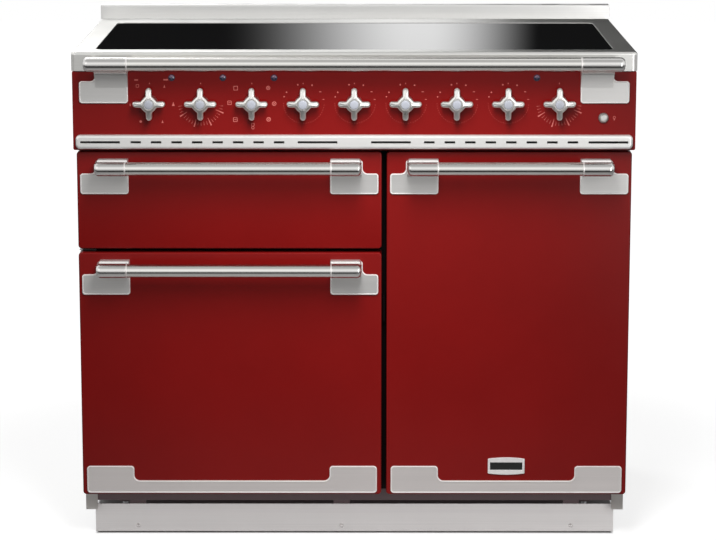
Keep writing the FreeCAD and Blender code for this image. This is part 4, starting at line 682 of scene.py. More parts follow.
def makeKnob(sizes):
    outline = crossOutline(sizes)
    angles = [math.atan2(z, x) for x, z in outline]
    back, gap, edge = sizes["armBack"], sizes["gap"], sizes["edge"]

    def front(x, z):
        fall = (math.hypot(x, z) - capSizes["radius"]) / (sizes["reach"] - capSizes["radius"])
        return sizes["height"] - sizes["droop"] * max(fall, 0.0)

    def around(radius):
        return [turnedPoint(radius, 0.0, angle) for angle in angles]

    rings = [ringAt(around(sizes["stem"]), sizes["stemLength"]), ringAt(around(sizes["stem"]), -gap),
             ringAt(around(sizes["skirt"]), -gap), ringAt(around(sizes["skirt"]), -gap - sizes["skirtRim"])]
    for k in range(1, sizes["skirtSteps"] + 1):
        share = k / sizes["skirtSteps"]
        radius = sizes["skirt"] + (sizes["waist"] - sizes["skirt"]) * share ** sizes["skirtCurve"]
        rings.append(ringAt(around(radius), -sizes["skirtRise"] - (back - sizes["skirtRise"]) * share))
    rings.append(ringAt(insetOutline(outline, sizes["backEdge"]), -back))
    rings.append(ringAt(outline, -back - sizes["backEdge"] * sizes["backSlope"]))
    for angle in quarterTurn(sizes["edgeSteps"]):
        points = insetOutline(outline, edge * (1 - math.cos(angle)))
        rings.append([(x, -(front(*start) - edge + edge * math.sin(angle)), z)
                      for start, (x, z) in zip(outline, points)])
    for share in sizes["settle"]:
        points = mixed(insetOutline(outline, edge), around(sizes["grooveOuter"]), share)
        rings.append([(x, -front(x, z), z) for x, z in points])
    for radius in (sizes["grooveOuter"] - sizes["grooveLean"], sizes["grooveInner"]):
        rings.append(ringAt(around(radius), sizes["grooveDepth"] - sizes["height"]))
    return skinned(rings)


def makeCap(sizes):
    # the pearl cap: a short wall, a round shoulder and a shallow dome
    height, radius, sides = knobSizes["height"], sizes["radius"], sizes["sides"]
    wall, dome = height + sizes["wall"], sizes["dome"]
    rings = [ringAt(circlePoints(radius, sides), knobSizes["grooveDepth"] - height - sizes["lift"]),
             ringAt(circlePoints(radius, sides), -wall)]
    for angle in quarterTurn(sizes["steps"])[1:-1]:
        share = dome * math.cos(angle) + (1 - dome) * math.cos(angle) ** sizes["curve"]
        rings.append(ringAt(circlePoints(radius * share, sides),
                            -wall - (height + sizes["rise"] - wall) * math.sin(angle)))
    return skinned(rings)


for number in knobNumbers:
    node = "knob_%d" % number
    for name, shape, finish in (("crossKnob_", makeKnob(knobSizes), "knobs"), ("knobCap_", makeCap(capSizes), "caps")):
        piece = newPiece(name + str(number), shape, finish, node, crease=34, at=onFascia(node))
        if finish == "knobs":
            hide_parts(node)
print("range cooker: cross knobs cast")


# The door's badge: a barrel-shaped chrome frame round a bare black field

badgeSizes = {
    "half": 0.0335,
    "tallEnd": 0.0138,
    "bow": 0.0024,          # how much taller the frame is in its middle
    "corner": 0.0016,
    "fieldHalf": 0.0292,
    "fieldTall": 0.0069,
    "fieldCorner": 0.0006,
    "thick": 0.0030,
    "slope": 0.0009,
    "sink": 0.0009,
    "frameDraw": (0.985, 0.975),    # across and up, as shares of the outline
    "crest": 0.55,                  # the frame's crest, as a share of its width
    "throat": (1.01, 1.05),
    "throatWall": 0.0002,
    "fieldFit": (0.996, 0.98),
    "fieldDraw": (0.985, 0.93),
    "fieldRise": 0.0003,
    "frameSeat": 0.0008,
    "fieldSeat": 0.0006,
}


def plateOutline(half, tall, corner, bow=0.0, along=14, arc=5):
    # a rounded rectangle whose top and bottom may be bowed
    def bowed(share):
        return tall - corner + corner * share + bow * 0.05

    points = []
    for side in (1, -1):
        for k in range(along + 1):
            x = side * (half - corner) * (1 - 2 * k / along)
            points.append((x, side * (tall + bow * (1 - (x / half) ** 2))))
        for angle in quarterTurn(arc)[1:-1]:
            points.append((-side * (half - corner + corner * math.sin(angle)), side * bowed(math.cos(angle))))
        points += [(-side * half, side * (tall - corner)), (-side * half, 0.0), (-side * half, -side * (tall - corner))]
        for angle in quarterTurn(arc)[1:-1]:
            points.append((-side * (half - corner + corner * math.cos(angle)), -side * bowed(math.sin(angle))))
    return points


def makeBadgeFrame(sizes, back, inside):
    front = back - sizes["thick"]
    outer = plateOutline(sizes["half"], sizes["tallEnd"], sizes["corner"], sizes["bow"])
    return skinned([ringAt(outer, back), ringAt(outer, front + sizes["slope"]),
                    ringAt(fitted(outer, *sizes["frameDraw"]), front + sizes["slope"] * 0.35),
                    ringAt(mixed(outer, inside, sizes["crest"]), front),
                    ringAt(fitted(inside, *sizes["throat"]), front + sizes["slope"] * 0.2),
                    ringAt(inside, front + sizes["sink"] + sizes["throatWall"]),
                    ringAt(inside, back - sizes["frameSeat"])])


def makeBadgeField(sizes, back, inside):
    front = back - sizes["thick"] + sizes["sink"]
    field = fitted(inside, *sizes["fieldFit"])
    return skinned([ringAt(field, back - sizes["fieldSeat"]), ringAt(field, front),
                    ringAt(fitted(field, *sizes["fieldDraw"]), front - sizes["fieldRise"])])


badgeMiddle = boxMiddle("badge_plate")
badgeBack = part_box("badge_plate")[1].y
fieldOutline = plateOutline(badgeSizes["fieldHalf"], badgeSizes["fieldTall"], badgeSizes["fieldCorner"])
for name, makeShape, finish in (("badgeFrame", makeBadgeFrame, "badge"), ("badgeField", makeBadgeField, "badgeField")):
    piece = newPiece(name, makeShape(badgeSizes, badgeBack, fieldOutline), finish, "right_door",
                     crease=30, at=(badgeMiddle.x, 0, badgeMiddle.z))
    if finish == "badge":
        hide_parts("badge_plate")
print("range cooker: badge frame and field set")


# Rolled rims of the brackets and of the doors' foot trims, in a steel that paints a highlight along them

beadSizes = {
    "spill": 0.00012,       # past the plate's own side
    "section": [(0.0, 0.0004), (0.0, 0.0026), (0.0005, 0.0034), (0.0012, 0.0037), (0.0020, 0.0036), (0.0025, 0.0031),
                (0.0025, 0.0004)],      # in from the plate's side, out from the door
    "arc": 7,
}
plateSizes = {
    "width": 0.086,
    "neck": 0.058,
    "corner": 0.005,
    "notchCorner": 0.009,
    "margin": 0.006,
    "low": 0.0525,          # below the bar's axis
    "notch": 0.0155,
    "top": 0.009,
    "railOuter": 0.486,
    "railNeck": 0.0575,
    "railNotch": 0.039,     # above the plate's foot
    "railTop": 0.012,       # below the brackets' top
    "footTall": 0.0505,
    "footBand": 0.023,
    "footCorner": 0.006,
    "footNotch": 0.010,
}


def roundCorners(corners, arc):
    # an outline in x and z whose corners have their own radius
    points = []
    for k, (x, z, radius) in enumerate(corners):
        before, after = corners[k - 1], corners[(k + 1) % len(corners)]
        here = Vector((x, z))
        first = (Vector(before[:2]) - here).normalized()
        second = (Vector(after[:2]) - here).normalized()
        reach = radius / math.tan(first.angle(second) / 2)
        centre = here + (first + second).normalized() * (radius / math.sin(first.angle(second) / 2))
        start, stop = here + first * reach - centre, here + second * reach - centre
        points += [tuple(centre + start.lerp(stop, step / arc).normalized() * radius) for step in range(arc + 1)]
    return points


def addBead(shape, corners, surface, sizes):
    # a rounded rim that follows a plate's outline on its front
    outline = roundCorners(corners, sizes["arc"])
    if sum(a[0] * b[1] - b[0] * a[1] for a, b in zip(outline, outline[1:] + outline[:1])) < 0:
        outline = outline[::-1]
    rows = []
    for inward, out in sizes["section"]:
        points = insetOutline(outline, inward - sizes["spill"])
        rows.append([shape.verts.new(point) for point in ringAt(points, surface - out)])
    bridge(shape, rows, looped=True)


def steppedPlate(outer, side, low, notch, top, neck, sizes):
    # a bracket's plate from its outer edge; side is 1 on the left, where it runs towards +x
    inner = outer + side * sizes["width"]
    step = inner - side * neck
    corner = sizes["corner"]
    return [(outer, low, corner), (inner, low, corner), (inner, top, corner), (step, top, corner),
            (step, notch, sizes["notchCorner"]), (outer, notch, corner)]


def footPlate(left, right, low, sizes):
    corner, tall, band = sizes["footCorner"], low + sizes["footTall"], low + sizes["footBand"]
    width, notch = sizes["width"], sizes["footNotch"]
    return [(left, low, corner), (right, low, corner), (right, tall, corner), (right - width, tall, corner),
            (right - width, band, notch), (left + width, band, notch), (left + width, tall, corner),
            (left, tall, corner)]


def makeDoorRims(door, sizes):
    shape = bmesh.new()
    low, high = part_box(door + "_panel")
    axis = boxMiddle(door + "_handle").z
    for outer, side in ((low.x + sizes["margin"], 1), (high.x - sizes["margin"], -1)):
        addBead(shape, steppedPlate(outer, side, axis - sizes["low"], axis - sizes["notch"], axis + sizes["top"],
                                    sizes["neck"], sizes), low.y, beadSizes)
    if door != "grill_door":
        trimLow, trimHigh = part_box(door + "_trim")
        addBead(shape, footPlate(trimLow.x, trimHigh.x, trimLow.z, sizes), low.y, beadSizes)
    return shape


def makeRailRims(sizes):
    shape = bmesh.new()
    low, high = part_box("hob_rail_brackets")
    for side in (1, -1):
        addBead(shape, steppedPlate(-side * sizes["railOuter"], side, low.z, low.z + sizes["railNotch"],
                                    high.z - sizes["railTop"], sizes["railNeck"], sizes), fasciaFront, beadSizes)
    return shape


for door in doors:
    newPiece(door + "_rims", makeDoorRims(door, plateSizes), "rims", door, crease=50)
newPiece("railPlateRims", makeRailRims(plateSizes), "rims", "root", crease=50)
print("range cooker: plate rims rolled")


# Shoulders of the door brackets, cast up behind each end of a bar

lipSizes = {
    "inset": 0.0345,        # from the door's edge to the shoulder's outer end
    "width": 0.0575,
    "round": 0.0034,
    "lean": 0.0045,         # how far the outer end draws in towards the top
    "steps": 5,
    "section": [(0.0001, 0.0030), (0.0212, 0.0030), (0.0210, 0.0080), (0.0204, 0.0104), (0.0195, 0.0117),
                (0.0178, 0.0124), (0.0140, 0.0127), (0.0060, 0.0122),
                (0.0001, 0.0115)],      # out from the door, up from the bar's axis
}


def addLip(shape, left, side, surface, axis, sizes):
    # the section runs along x, draws in round at both ends and leans in at its outer one
    top = max(up for out, up in sizes["section"])
    front = max(out for out, up in sizes["section"])
    rings = []
    for end in (-1, 1):
        for angle in quarterTurn(sizes["steps"])[::-end]:
            draw = sizes["round"] * (1 - math.sin(angle))
            along = sizes["round"] * (1 - math.cos(angle))
            at = left + along if end < 0 else left + sizes["width"] - along
            lean = -end * sizes["lean"] / top if end == side else 0.0
            section = [(min(out, front - draw), min(up, top - draw)) for out, up in sizes["section"]]
            rings.append([(at + lean * up, surface - out, axis + up) for out, up in section])
    addRings(shape, rings)


for door in doors:
    shape = bmesh.new()
    low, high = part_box(door + "_panel")
    inset, width = lipSizes["inset"], lipSizes["width"]
    for left, side in ((low.x + inset, -1), (high.x - inset - width, 1)):
        addLip(shape, left, side, low.y, boxMiddle(door + "_handle").z, lipSizes)
    newPiece(door + "_shoulders", shape, "shoulders", door, crease=50)
print("range cooker: bracket shoulders cast")


# Rings where each bar enters its collars, with a fine groove before the collar

collarSizes = {
    "crest": 0.01258,
    "foot": 0.0118,
    "half": 0.0012,
    "groove": 0.0009,
    "sides": 48,
    "section": [(-1.0, 0.0), (-1.0, 0.7), (-0.6, 0.93), (0.0, 1.0), (0.6, 0.93), (1.0, 0.7), (1.0, 0.0)],
}


def makeCollarRings(part, sizes):
    shape = bmesh.new()
    low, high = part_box(part)
    centre = boxMiddle(part)
    reach = sizes["groove"] + sizes["half"]
    for x in (low.x + reach, high.x - reach):
        rings = []
        for along, share in sizes["section"]:
            radius = sizes["foot"] + (sizes["crest"] - sizes["foot"]) * share
            rings.append([(x + along * sizes["half"], centre.y + y, centre.z + z)
                          for y, z in circlePoints(radius, sizes["sides"])])
        addRings(shape, rings)
    return shape


# the rings take the shoulders' lighter steel, which paints light on them
for part, body in [("hob_rail", "root")] + [(door + "_handle", door) for door in doors]:
    newPiece(part + "_rings", makeCollarRings(part, collarSizes), "shoulders", body, crease=50)
print("range cooker: collar rings turned")


# Printed marks round the dials

def addPrint(shape, outline, at):
    # one flat mark on the panel: its outline in x and z round a place, raised by the ink's skin
    rows = [[shape.verts.new((at.x + x, at.y - lift, at.z + z)) for x, z in outline] for lift in (skin, 0.0)]
    bridge(shape, rows)
    shape.faces.new(rows[0])
    shape.faces.new(rows[1][::-1])


def addBand(shape, inner, outer, at, closed=True):
    # a line of ink between two outlines that have the same count of points
    rows = [[shape.verts.new((at.x + x, at.y - lift, at.z + z)) for x, z in points]
            for points, lift in ((inner, skin), (outer, skin), (outer, 0.0), (inner, 0.0))]
    bridge(shape, rows, looped=True, closed=closed)
    if not closed:
        shape.faces.new([row[0] for row in rows])
        shape.faces.new([row[-1] for row in rows][::-1])


def bar(length, width, angle=0.0, x=0.0, z=0.0):
    corners = [turnedPoint(a * length / 2, b * width / 2, angle) for a, b in ((-1, -1), (1, -1), (1, 1), (-1, 1))]
    return [(x + a, z + b) for a, b in corners]


ringBand = (circlePoints(0.34, 20), circlePoints(0.5, 20))
boxOutline = plateOutline(0.5, 0.5, 0.16, along=2, arc=3)
boxBand = (fitted(boxOutline, 0.72), boxOutline)
blades = [bar(0.26, 0.13, math.pi / 4 + turn * math.pi / 2, *turnedPoint(0.17, 0.0, math.pi / 4 + turn * math.pi / 2))
          for turn in range(4)]
marks = {               # each mark one unit tall: its bands, then its solid outlines
    "dot": ([], [circlePoints(0.5, 14)]),
    "dash": ([], [bar(1.0, 0.34)]),
    "stroke": ([], [bar(1.0, 0.34, math.pi / 2)]),
    "wedge": ([], [[(-1 / 3, -0.5), (1 / 3, -0.5), (0.0, 0.5)]]),
    "ring": ([ringBand], []),
    "fan": ([ringBand], blades),
    "box": ([boxBand], []),
    "tray": ([boxBand], [bar(0.5, 0.14)]),
    "bulb": ([[fitted(points, 0.62, z=0.18) for points in ringBand]],
             [bar(0.3, 0.12, z=-0.24), bar(0.22, 0.1, z=-0.42)]),
}
topMark = [("wedge", 0.3, 35.4, 3.2)]
hobMarks = [("dot", -9.2, 32.7, 3.0), ("dot", 16.1, 31.8, 3.0), ("dash", 30.5, 20.2, 3.8), ("dash", 36.1, 6.6, 3.2),
            ("dot", -29.1, 19.2, 2.8), ("dot", -33.5, 11.3, 2.6)]
dialMarks = {            # which mark, its place from the dial's middle and its size, in millimetres
    1: [("dash", -23.0, 41.0, 6.5), ("box", -21.0, 30.5, 5.5), ("dash", 29.0, 41.5, 8.0), ("wedge", 26.5, 30.0, 5.0),
        ("stroke", -34.5, -3.2, 4.2), ("wedge", 42.0, -1.5, 7.5), ("dot", -16.0, -33.0, 4.6),
        ("wedge", 22.5, -33.0, 5.0)],
    2: [],
    3: [("box", -28.5, 26.5, 8.0), ("fan", 29.0, 27.0, 7.5), ("tray", -39.5, 0.5, 7.5), ("fan", 39.5, -1.0, 8.0),
        ("tray", -29.5, -29.5, 8.0), ("fan", 29.5, -29.0, 8.0), ("box", 1.5, -38.5, 5.5), ("ring", 1.5, -44.0, 5.5)],
    9: [],
}
buttonMark = ("bulb", 19.5, -1.0, 8.0)
arcSizes = {"start": 0.0342, "end": 0.0372, "line": 0.0006, "dashes": 26, "share": 0.4, "steps": 3}
lensSizes = {"collar": 0.0016, "sides": 32, "apart": 0.02}      # a wider step in x starts the next lens


def drawMark(shape, at, kind, x, z, size):
    def placed(points):
        return fitted(points, size / 1000, x=x / 1000, z=z / 1000)

    bands, solids = marks[kind]
    for inner, outer in bands:
        addBand(shape, placed(inner), placed(outer), at)
    for outline in solids:
        addPrint(shape, placed(outline), at)


def arcPoints(sizes, lift, first, last):
    # part of the lower half circle, which widens from its start to its end
    shares = [first + (last - first) * k / sizes["steps"] for k in range(sizes["steps"] + 1)]
    return [turnedPoint(sizes["start"] + (sizes["end"] - sizes["start"]) * share + lift, 0.0, math.pi * (1 + share))
            for share in shares]


def addDashes(shape, at, sizes):
    for k in range(sizes["dashes"]):
        part = (k / sizes["dashes"], (k + sizes["share"]) / sizes["dashes"])
        addBand(shape, arcPoints(sizes, 0.0, *part), arcPoints(sizes, sizes["line"], *part), at, closed=False)


# a flat dark navy ring round each lens: partly the lens's own dark rim, partly painted shade round it
def makeLensCollars(sizes):
    shape = bmesh.new()
    low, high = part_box("neon_lenses")
    radius = (high.z - low.z) / 2
    across = sorted(vertex.co.x for vertex in cad["neon_lenses"].data.vertices)
    starts = [across[0]] + [after for before, after in zip(across, across[1:]) if after - before > sizes["apart"]]
    for start in starts:
        at = Vector((start + radius, fasciaFront, (low.z + high.z) / 2))
        addBand(shape, circlePoints(radius, sizes["sides"]), circlePoints(radius + sizes["collar"], sizes["sides"]), at)
    return shape


prints, arcs = bmesh.new(), bmesh.new()
for number in knobNumbers:
    centre = onFascia("knob_%d" % number)
    for mark in topMark + dialMarks.get(number, hobMarks):
        drawMark(prints, centre, *mark)
    if number not in dialMarks:
        addDashes(arcs, centre, arcSizes)
drawMark(prints, onFascia("button_bezel"), *buttonMark)
newPiece("lensCollars", makeLensCollars(lensSizes), "lensShade", "root")
newPiece("dialMarks", prints, "ink", "root")
newPiece("dialArcs", arcs, "faintInk", "root")
print("range cooker: dial marks printed")


# Tick fans of the two temperature dials and the back panel's screws, by Geometry Nodes

socketKinds = {int: "Int", float: "Float", tuple: "Vector", bpy.types.Material: "Material", bpy.types.Object: "Object"}


def newGeometryTree(name, inputs, output):
    # the tree's inputs are named after the values that it will be given
    tree = bpy.data.node_groups.new(name, "GeometryNodeTree")
    for label, value in inputs.items():
        tree.interface.new_socket(label, in_out="INPUT", socket_type="NodeSocket" + socketKinds[type(value)])
    tree.interface.new_socket(output, in_out="OUTPUT", socket_type="NodeSocketGeometry")
    return tree, addNode(tree, "NodeGroupInput").outputs, addNode(tree, "NodeGroupOutput").inputs


def finishTree(tree, result, material, **instances):
    # every tree sets its piece on points and ends in real geometry with its own finish
    spots = wired(tree, "GeometryNodeInstanceOnPoints", instances)[0]
    real = wired(tree, "GeometryNodeRealizeInstances", {0: spots})[0]
    dressed = wired(tree, "GeometryNodeSetMaterial", {"Geometry": real, "Material": material})[0]
    feed(tree, result[0], dressed)


def runTree(tree, name, inputs):
    # a plain mesh from a Geometry Nodes tree with these named inputs
    carrier = newObject(name + "Carrier", bpy.data.meshes.new(name + "Carrier"))
    modifier = carrier.modifiers.new("nodes", "NODES")
    modifier.node_group = tree
    for item in tree.interface.items_tree:
        if item.in_out == "INPUT":
            modifier[item.identifier] = inputs[item.name]
    graph = bpy.context.evaluated_depsgraph_get()
    mesh = bpy.data.meshes.new_from_object(carrier.evaluated_get(graph))
    mesh.name = name
    carrier.modifiers.remove(modifier)
    bpy.data.objects.remove(carrier)
    return mesh


tickInputs = {
    "Count": 21,
    "First Angle": math.radians(188.4),
    "Last Angle": math.radians(352.4),
    "Inner Radius": 0.0330,
    "Length": 0.0070,
    "Width": 0.0005,
    "Thickness": skin,
    "Bold Every": 5,
    "Bold From": 2,
    "Bold Scale": 3.2,
    "Bold Longer": 2.1,
    "Taper": 0.6,           # how much wider a tick's outer end is than its middle
    "Ink": finishes["ink"],
}


def makeTickFan(inputs):
    tree, given, result = newGeometryTree("tickFan", inputs, "Ticks")
    index = addNode(tree, "GeometryNodeInputIndex").outputs[0]
    sweep = minus(tree, given["Last Angle"], given["First Angle"])
    step = calc(tree, "DIVIDE", sweep, minus(tree, given["Count"], 1.0))
    angle = plus(tree, given["First Angle"], times(tree, step, index))
    half = times(tree, given["Length"], 0.5)
    radius = plus(tree, given["Inner Radius"], half)
    place = joinAxes(tree, times(tree, radius, calc(tree, "COSINE", angle)), times(tree, given["Thickness"], -0.5),
                     times(tree, radius, calc(tree, "SINE", angle)))
    points = wired(tree, "GeometryNodePoints", {"Count": given["Count"], "Position": place})[0]
    size = joinAxes(tree, given["Length"], given["Thickness"], given["Width"])
    tick = wired(tree, "GeometryNodeMeshCube", {"Size": size})["Mesh"]
    x, y, z = splitAxes(tree, addNode(tree, "GeometryNodeInputPosition").outputs[0])
    flare = plus(tree, 1.0, times(tree, calc(tree, "DIVIDE", x, half), given["Taper"]))
    wedge = joinAxes(tree, x, y, times(tree, z, flare))
    tapered = wired(tree, "GeometryNodeSetPosition", {"Geometry": tick, "Position": wedge})[0]
    turn = calc(tree, "MODULO", plus(tree, index, given["Bold From"]), given["Bold Every"])
    bold = calc(tree, "LESS_THAN", turn, 0.5)
    longer, wider = (plus(tree, 1.0, times(tree, bold, minus(tree, given[label], 1.0)))
                     for label in ("Bold Longer", "Bold Scale"))
    finishTree(tree, result, given["Ink"], Points=points, Instance=tapered,
               Rotation=joinAxes(tree, 0.0, times(tree, angle, -1.0), 0.0),
               Scale=joinAxes(tree, longer, 1.0, wider))
    return tree


tickFan = makeTickFan(tickInputs)
for number in (2, 9):
    name = "dialTicks_%d" % number
    mesh = runTree(tickFan, name, tickInputs)
    mesh.transform(Matrix.Translation(onFascia("knob_%d" % number)))
    addPiece(name, mesh, "root")
print("range cooker: tick fans printed")


screwSizes = {
    "radius": 0.0042,
    "section": [(1.0, 0.0), (1.0, 0.10), (0.93, 0.26), (0.78, 0.38), (0.58, 0.46), (0.40, 0.48), (0.34, 0.24)],
    "sides": 12,
    "inset": 0.012,
    "pitch": 0.118,
}


def makeScrewHead(sizes):
    # a pan head with a socket, one unit across, facing up
    rings = [[(x, y, height) for x, y in circlePoints(radius, sizes["sides"])] for radius, height in sizes["section"]]
    return newObject("screwHead", meshFrom(skinned(rings), "screwHead", crease=40))


def makeScrewRow(inputs):
    # screws at an even pitch along a straight line, all facing one way
    tree, given, result = newGeometryTree("screwRow", inputs, "Screws")
    line = wired(tree, "GeometryNodeMeshLine", {"Count": given["Count"], "Start Location": given["First"],
                                                "Offset": given["Pitch"]}, mode="OFFSET")[0]
    head = wired(tree, "GeometryNodeObjectInfo", {"Object": given["Head"]})["Geometry"]
    finishTree(tree, result, given["Metal"], Points=line, Instance=head, Rotation=given["Facing"],
               Scale=given["Radius"])
    return tree


def backRows(sizes):
    # a row of screws along each edge of the back panel: how many, the first one's place, the step
    low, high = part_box("back_panel")
    left, foot = low.x + sizes["inset"], low.z + sizes["inset"]
    right, top = high.x - sizes["inset"], high.z - sizes["inset"]
    upCount = int((top - foot) // sizes["pitch"])
    acrossCount = int((right - left) // sizes["pitch"])
    upStep, acrossStep = (top - foot) / upCount, (right - left) / acrossCount
    return ([(upCount + 1, (x, high.y, foot), (0, 0, upStep)) for x in (left, right)]
            + [(acrossCount - 1, (left + acrossStep, high.y, z), (acrossStep, 0, 0)) for z in (foot, top)])


screws = bmesh.new()
screwHead = makeScrewHead(screwSizes)
rows = [{"Count": count, "First": first, "Pitch": pitch, "Facing": (-math.pi / 2, 0, 0),
         "Radius": screwSizes["radius"], "Head": screwHead, "Metal": finishes["zinc"]}
        for count, first, pitch in backRows(screwSizes)]
screwRow = makeScrewRow(rows[0])
for inputs in rows:
    row = runTree(screwRow, "screwRow", inputs)
    screws.from_mesh(row)
    bpy.data.meshes.remove(row)
bpy.data.objects.remove(screwHead)
newPiece("backScrews", screws, "zinc", "root", crease=40)
print("range cooker: back panel screwed on")


# Floor, card behind the hob, backdrop, lights and camera

def addScreen(name, corners, material, hiddenFrom=()):
    # one flat face of the studio
    mesh = bpy.data.meshes.new(name)
    mesh.from_pydata(corners, [], [(0, 1, 2, 3)])
    mesh.materials.append(material)
    material.cycles.emission_sampling = "NONE"
    screen = newObject(name, mesh)
    for kind in hiddenFrom:
        setattr(screen, "visible_" + kind, False)


def seenByGloss(tree, path):
    return calc(tree, "MAXIMUM", path["Is Glossy Ray"], path["Is Transmission Ray"])


floorSizes = {
    "reach": 9.0,
    "tone": (0.5, 0.5, 0.5, 1),
    "matTone": (0.06, 0.06, 0.06, 1),
    "glow": 0.80,            # the floor's own white for the camera, near the cooker and far off
    "farGlow": 1.0,
    "glowFade": (0.8, 1.6),
    "mirror": 0.42,          # and for gloss and glass
    "gap": (-0.02, 0.01),    # where the gap over the plinth shows the floor, and half its width there
    "gapHalf": (0.475, 0.492),
    "gapFade": 0.006,
    "under": 0.07,           # middle and half depth of the dark floor below the cooker
    "underHalf": (0.252, 0.262),
    "matFar": (-3.6, -2.4),  # gloss sees a dark mat between these two lines, and a dimmed floor behind it
    "matNear": (-1.4, -0.8),
    "behindMat": 0.5,
}


def makeFloor(sizes):
    material, tree, surface = emptyMaterial("paleFloor")
    path = addNode(tree, "ShaderNodeLightPath").outputs
    mirrored = seenByGloss(tree, path)
    across, along, _ = ownAxes(tree)
    away = calc(tree, "SQRT", plus(tree, times(tree, across, across), times(tree, along, along)))
    white = spread(tree, away, *sizes["glowFade"], sizes["glow"], sizes["farGlow"], smooth=True)
    edge = spread(tree, along, *sizes["gap"], *sizes["gapHalf"])
    aside = calc(tree, "DIVIDE", minus(tree, calc(tree, "ABSOLUTE", across), edge), sizes["gapFade"], clamp=True)
    before = spread(tree, calc(tree, "ABSOLUTE", minus(tree, along, sizes["under"])), *sizes["underHalf"])
    white = times(tree, white, calc(tree, "MAXIMUM", aside, before))     # none under the cooker
    far = spread(tree, along, *sizes["matFar"], 1, 0, smooth=True)
    mat = calc(tree, "MAXIMUM", far, spread(tree, along, *sizes["matNear"], 0, sizes["behindMat"], smooth=True))
    strength = plus(tree, times(tree, path["Is Camera Ray"], white), times(tree, mirrored, mat, sizes["mirror"]))
    plain = calc(tree, "MAXIMUM", mat, minus(tree, 1.0, mirrored))
    pale = wired(tree, "ShaderNodeBsdfDiffuse", {"Color": blendColours(tree, plain, sizes["matTone"], sizes["tone"])})
    glow = wired(tree, "ShaderNodeEmission", {"Strength": strength})
    feed(tree, surface, wired(tree, "ShaderNodeAddShader", {0: pale[0], 1: glow[0]})[0])
    corners = [(x * sizes["reach"], y * sizes["reach"], 0) for x, y in ((-1, -1), (1, -1), (1, 1), (-1, 1))]
    addScreen("studioFloor", corners, material)


cardSizes = {
    "y": 1.6,
    "low": 0.93,
    "high": 3.6,
    "left": -1.7,
    "right": 3.4,
    "turn": (1.20, 1.42),    # between these heights the dark card turns into the soft box above it
    "column": 1.30,
    "rise": (-0.36, 0.14),   # the bright column's left and right slopes
    "riseCurve": 1.6,
    "fall": (0.17, 0.45),
    "dark": 0.010,
    "boxLeft": 2.0,
    "boxRight": 0.02,
    "boxSlope": (-0.45, 0.42),
    "boxTop": (2.3, 2.9),
    "overBox": 0.1,
}


def makeCard(sizes):
    # a card behind the hob: dark, with one soft bright column in the glass and a soft box over its left side
    material, tree, surface = emptyMaterial("cardBehindHob")
    across, _, up = ownAxes(tree)
    rise = calc(tree, "POWER", spread(tree, across, *sizes["rise"], smooth=True), sizes["riseCurve"])
    fall = spread(tree, across, *sizes["fall"], 1, 0, smooth=True)
    column = plus(tree, times(tree, rise, fall, sizes["column"]), sizes["dark"])
    box = times(tree, spread(tree, across, *sizes["boxSlope"], sizes["boxLeft"], sizes["boxRight"], smooth=True),
                spread(tree, up, *sizes["boxTop"], 1.0, sizes["overBox"], smooth=True))
    turn = spread(tree, up, *sizes["turn"], smooth=True)
    level = plus(tree, times(tree, box, turn), times(tree, column, minus(tree, 1.0, turn)))
    feed(tree, surface, wired(tree, "ShaderNodeEmission", {"Strength": level})[0])
    left, right = sizes["left"], sizes["right"]
    low, high = sizes["low"], sizes["high"]
    addScreen("studioCard", [(x, sizes["y"], z) for x, z in ((left, low), (right, low), (right, high), (left, high))],
              material, ("camera", "diffuse", "shadow", "transmission", "volume_scatter"))


worldSizes = {
    "soft": 0.15,
    "behind": (-0.1, 0.25),
    "horizon": (0.0, 0.20),      # the studio in front of the cooker, as gloss sees it
    "dimHorizon": 0.75,
    "brightBand": 1.15,
    "over": (0.48, 0.88),
    "dimOver": 0.5,
}


def makeWorld(sizes):
    # a white backdrop behind the cooker; gloss sees a dim studio in front of it, with one bright band
    world = bpy.data.worlds.new("studio")
    bpy.context.scene.world = world
    world.use_nodes = True
    tree = world.node_tree
    tree.nodes.clear()
    output = addNode(tree, "ShaderNodeOutputWorld")
    path = addNode(tree, "ShaderNodeLightPath").outputs
    _, along, up = splitAxes(tree, ownPlace(tree, "Generated"))
    behind = spread(tree, along, *sizes["behind"], smooth=True)
    ahead = times(tree, spread(tree, up, *sizes["horizon"], sizes["dimHorizon"], sizes["brightBand"], smooth=True),
                  spread(tree, up, *sizes["over"], 1.0, sizes["dimOver"], smooth=True))
    mirrored = plus(tree, behind, times(tree, ahead, minus(tree, 1.0, behind)))
    gloss = seenByGloss(tree, path)
    level = plus(tree, times(tree, minus(tree, 1.0, gloss), sizes["soft"]), times(tree, gloss, mirrored))
    level = calc(tree, "MAXIMUM", level, path["Is Camera Ray"])
    sky = wired(tree, "ShaderNodeBackground", {"Color": (1, 1, 1, 1), "Strength": level})[0]
    feed(tree, output.inputs["Surface"], sky)
    world.cycles.sampling_method = "NONE"


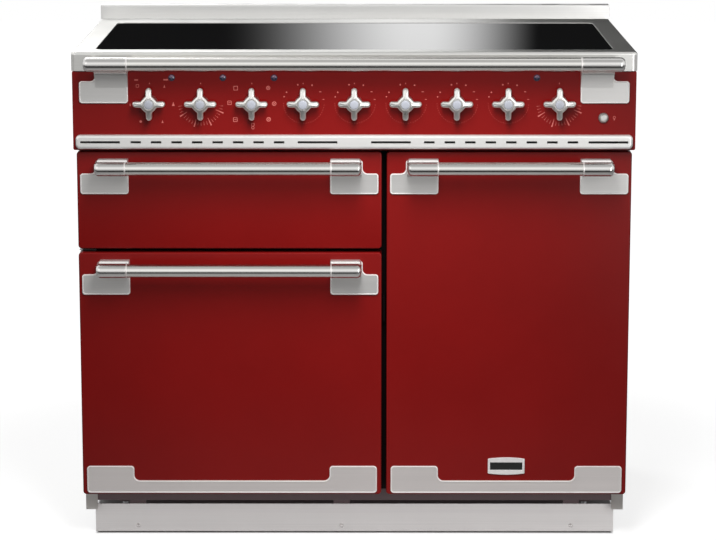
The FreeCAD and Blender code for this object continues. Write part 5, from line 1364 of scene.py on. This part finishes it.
lamps = {
    "keyOver": {"at": (0.05, -1.25, 1.55), "aim": (0.03, -0.26, 0.60), "size": (0.45, 1.1), "power": 8, "spread": 84},
    "fillLeft": {"at": (-2.6, -3.2, 2.4), "aim": (-0.1, 0, 0.4), "size": (1.8, 1.8), "power": 5, "spread": 180},
    "fillRight": {"at": (2.6, -3.2, 2.4), "aim": (0.1, 0, 0.4), "size": (1.8, 1.8), "power": 5, "spread": 180},
    "stripRight": {"at": (1.15, -1.9, 0.85), "aim": (0.4, -0.2, 0.8), "size": (0.35, 1.5), "power": 3, "spread": 120},
    "backLeft": {"at": (-0.9, 1.5, 2.3), "aim": (-0.2, 0.1, 0.9), "size": (1.0, 0.6), "power": 6, "spread": 120},
}


def makeLamps():
    for name, sizes in lamps.items():
        light = bpy.data.lights.new(name, "AREA")
        light.shape = "RECTANGLE"
        light.size, light.size_y = sizes["size"]
        light.energy = sizes["power"]
        light.spread = math.radians(sizes["spread"])
        lamp = newObject(name, light)
        lamp.location = sizes["at"]
        aim = Vector(sizes["aim"]) - Vector(sizes["at"])
        lamp.rotation_mode = "QUATERNION"
        lamp.rotation_quaternion = aim.to_track_quat("-Z", "Y")
        lamp.visible_camera = False
        lamp.visible_glossy = name != "keyOver"     # the key only lights; metal mirrors the studio around it
        lamp.visible_diffuse = name != "stripRight"


cameraSizes = {
    "eye": (0.015, -5.035, 1.449),
    "pitch": math.radians(11.106),
    "yaw": math.radians(0.100),
    "lens": 136.48,
    "sensor": 36,
}


def makeCamera(sizes):
    camera = bpy.data.cameras.new("photoCamera")
    camera.lens = sizes["lens"]
    camera.sensor_width = sizes["sensor"]
    holder = newObject("photoCamera", camera)
    holder.location = sizes["eye"]
    holder.rotation_euler = (math.pi / 2 - sizes["pitch"], 0, sizes["yaw"])
    bpy.context.scene.camera = holder


makeFloor(floorSizes)
makeCard(cardSizes)
makeWorld(worldSizes)
makeLamps()
makeCamera(cameraSizes)
cad["rear_upstand"].visible_glossy = False      # the glass shows the card behind the hob, not the upstand
bpy.context.scene.view_settings.view_transform = "Standard"
print("range cooker: studio and camera set")
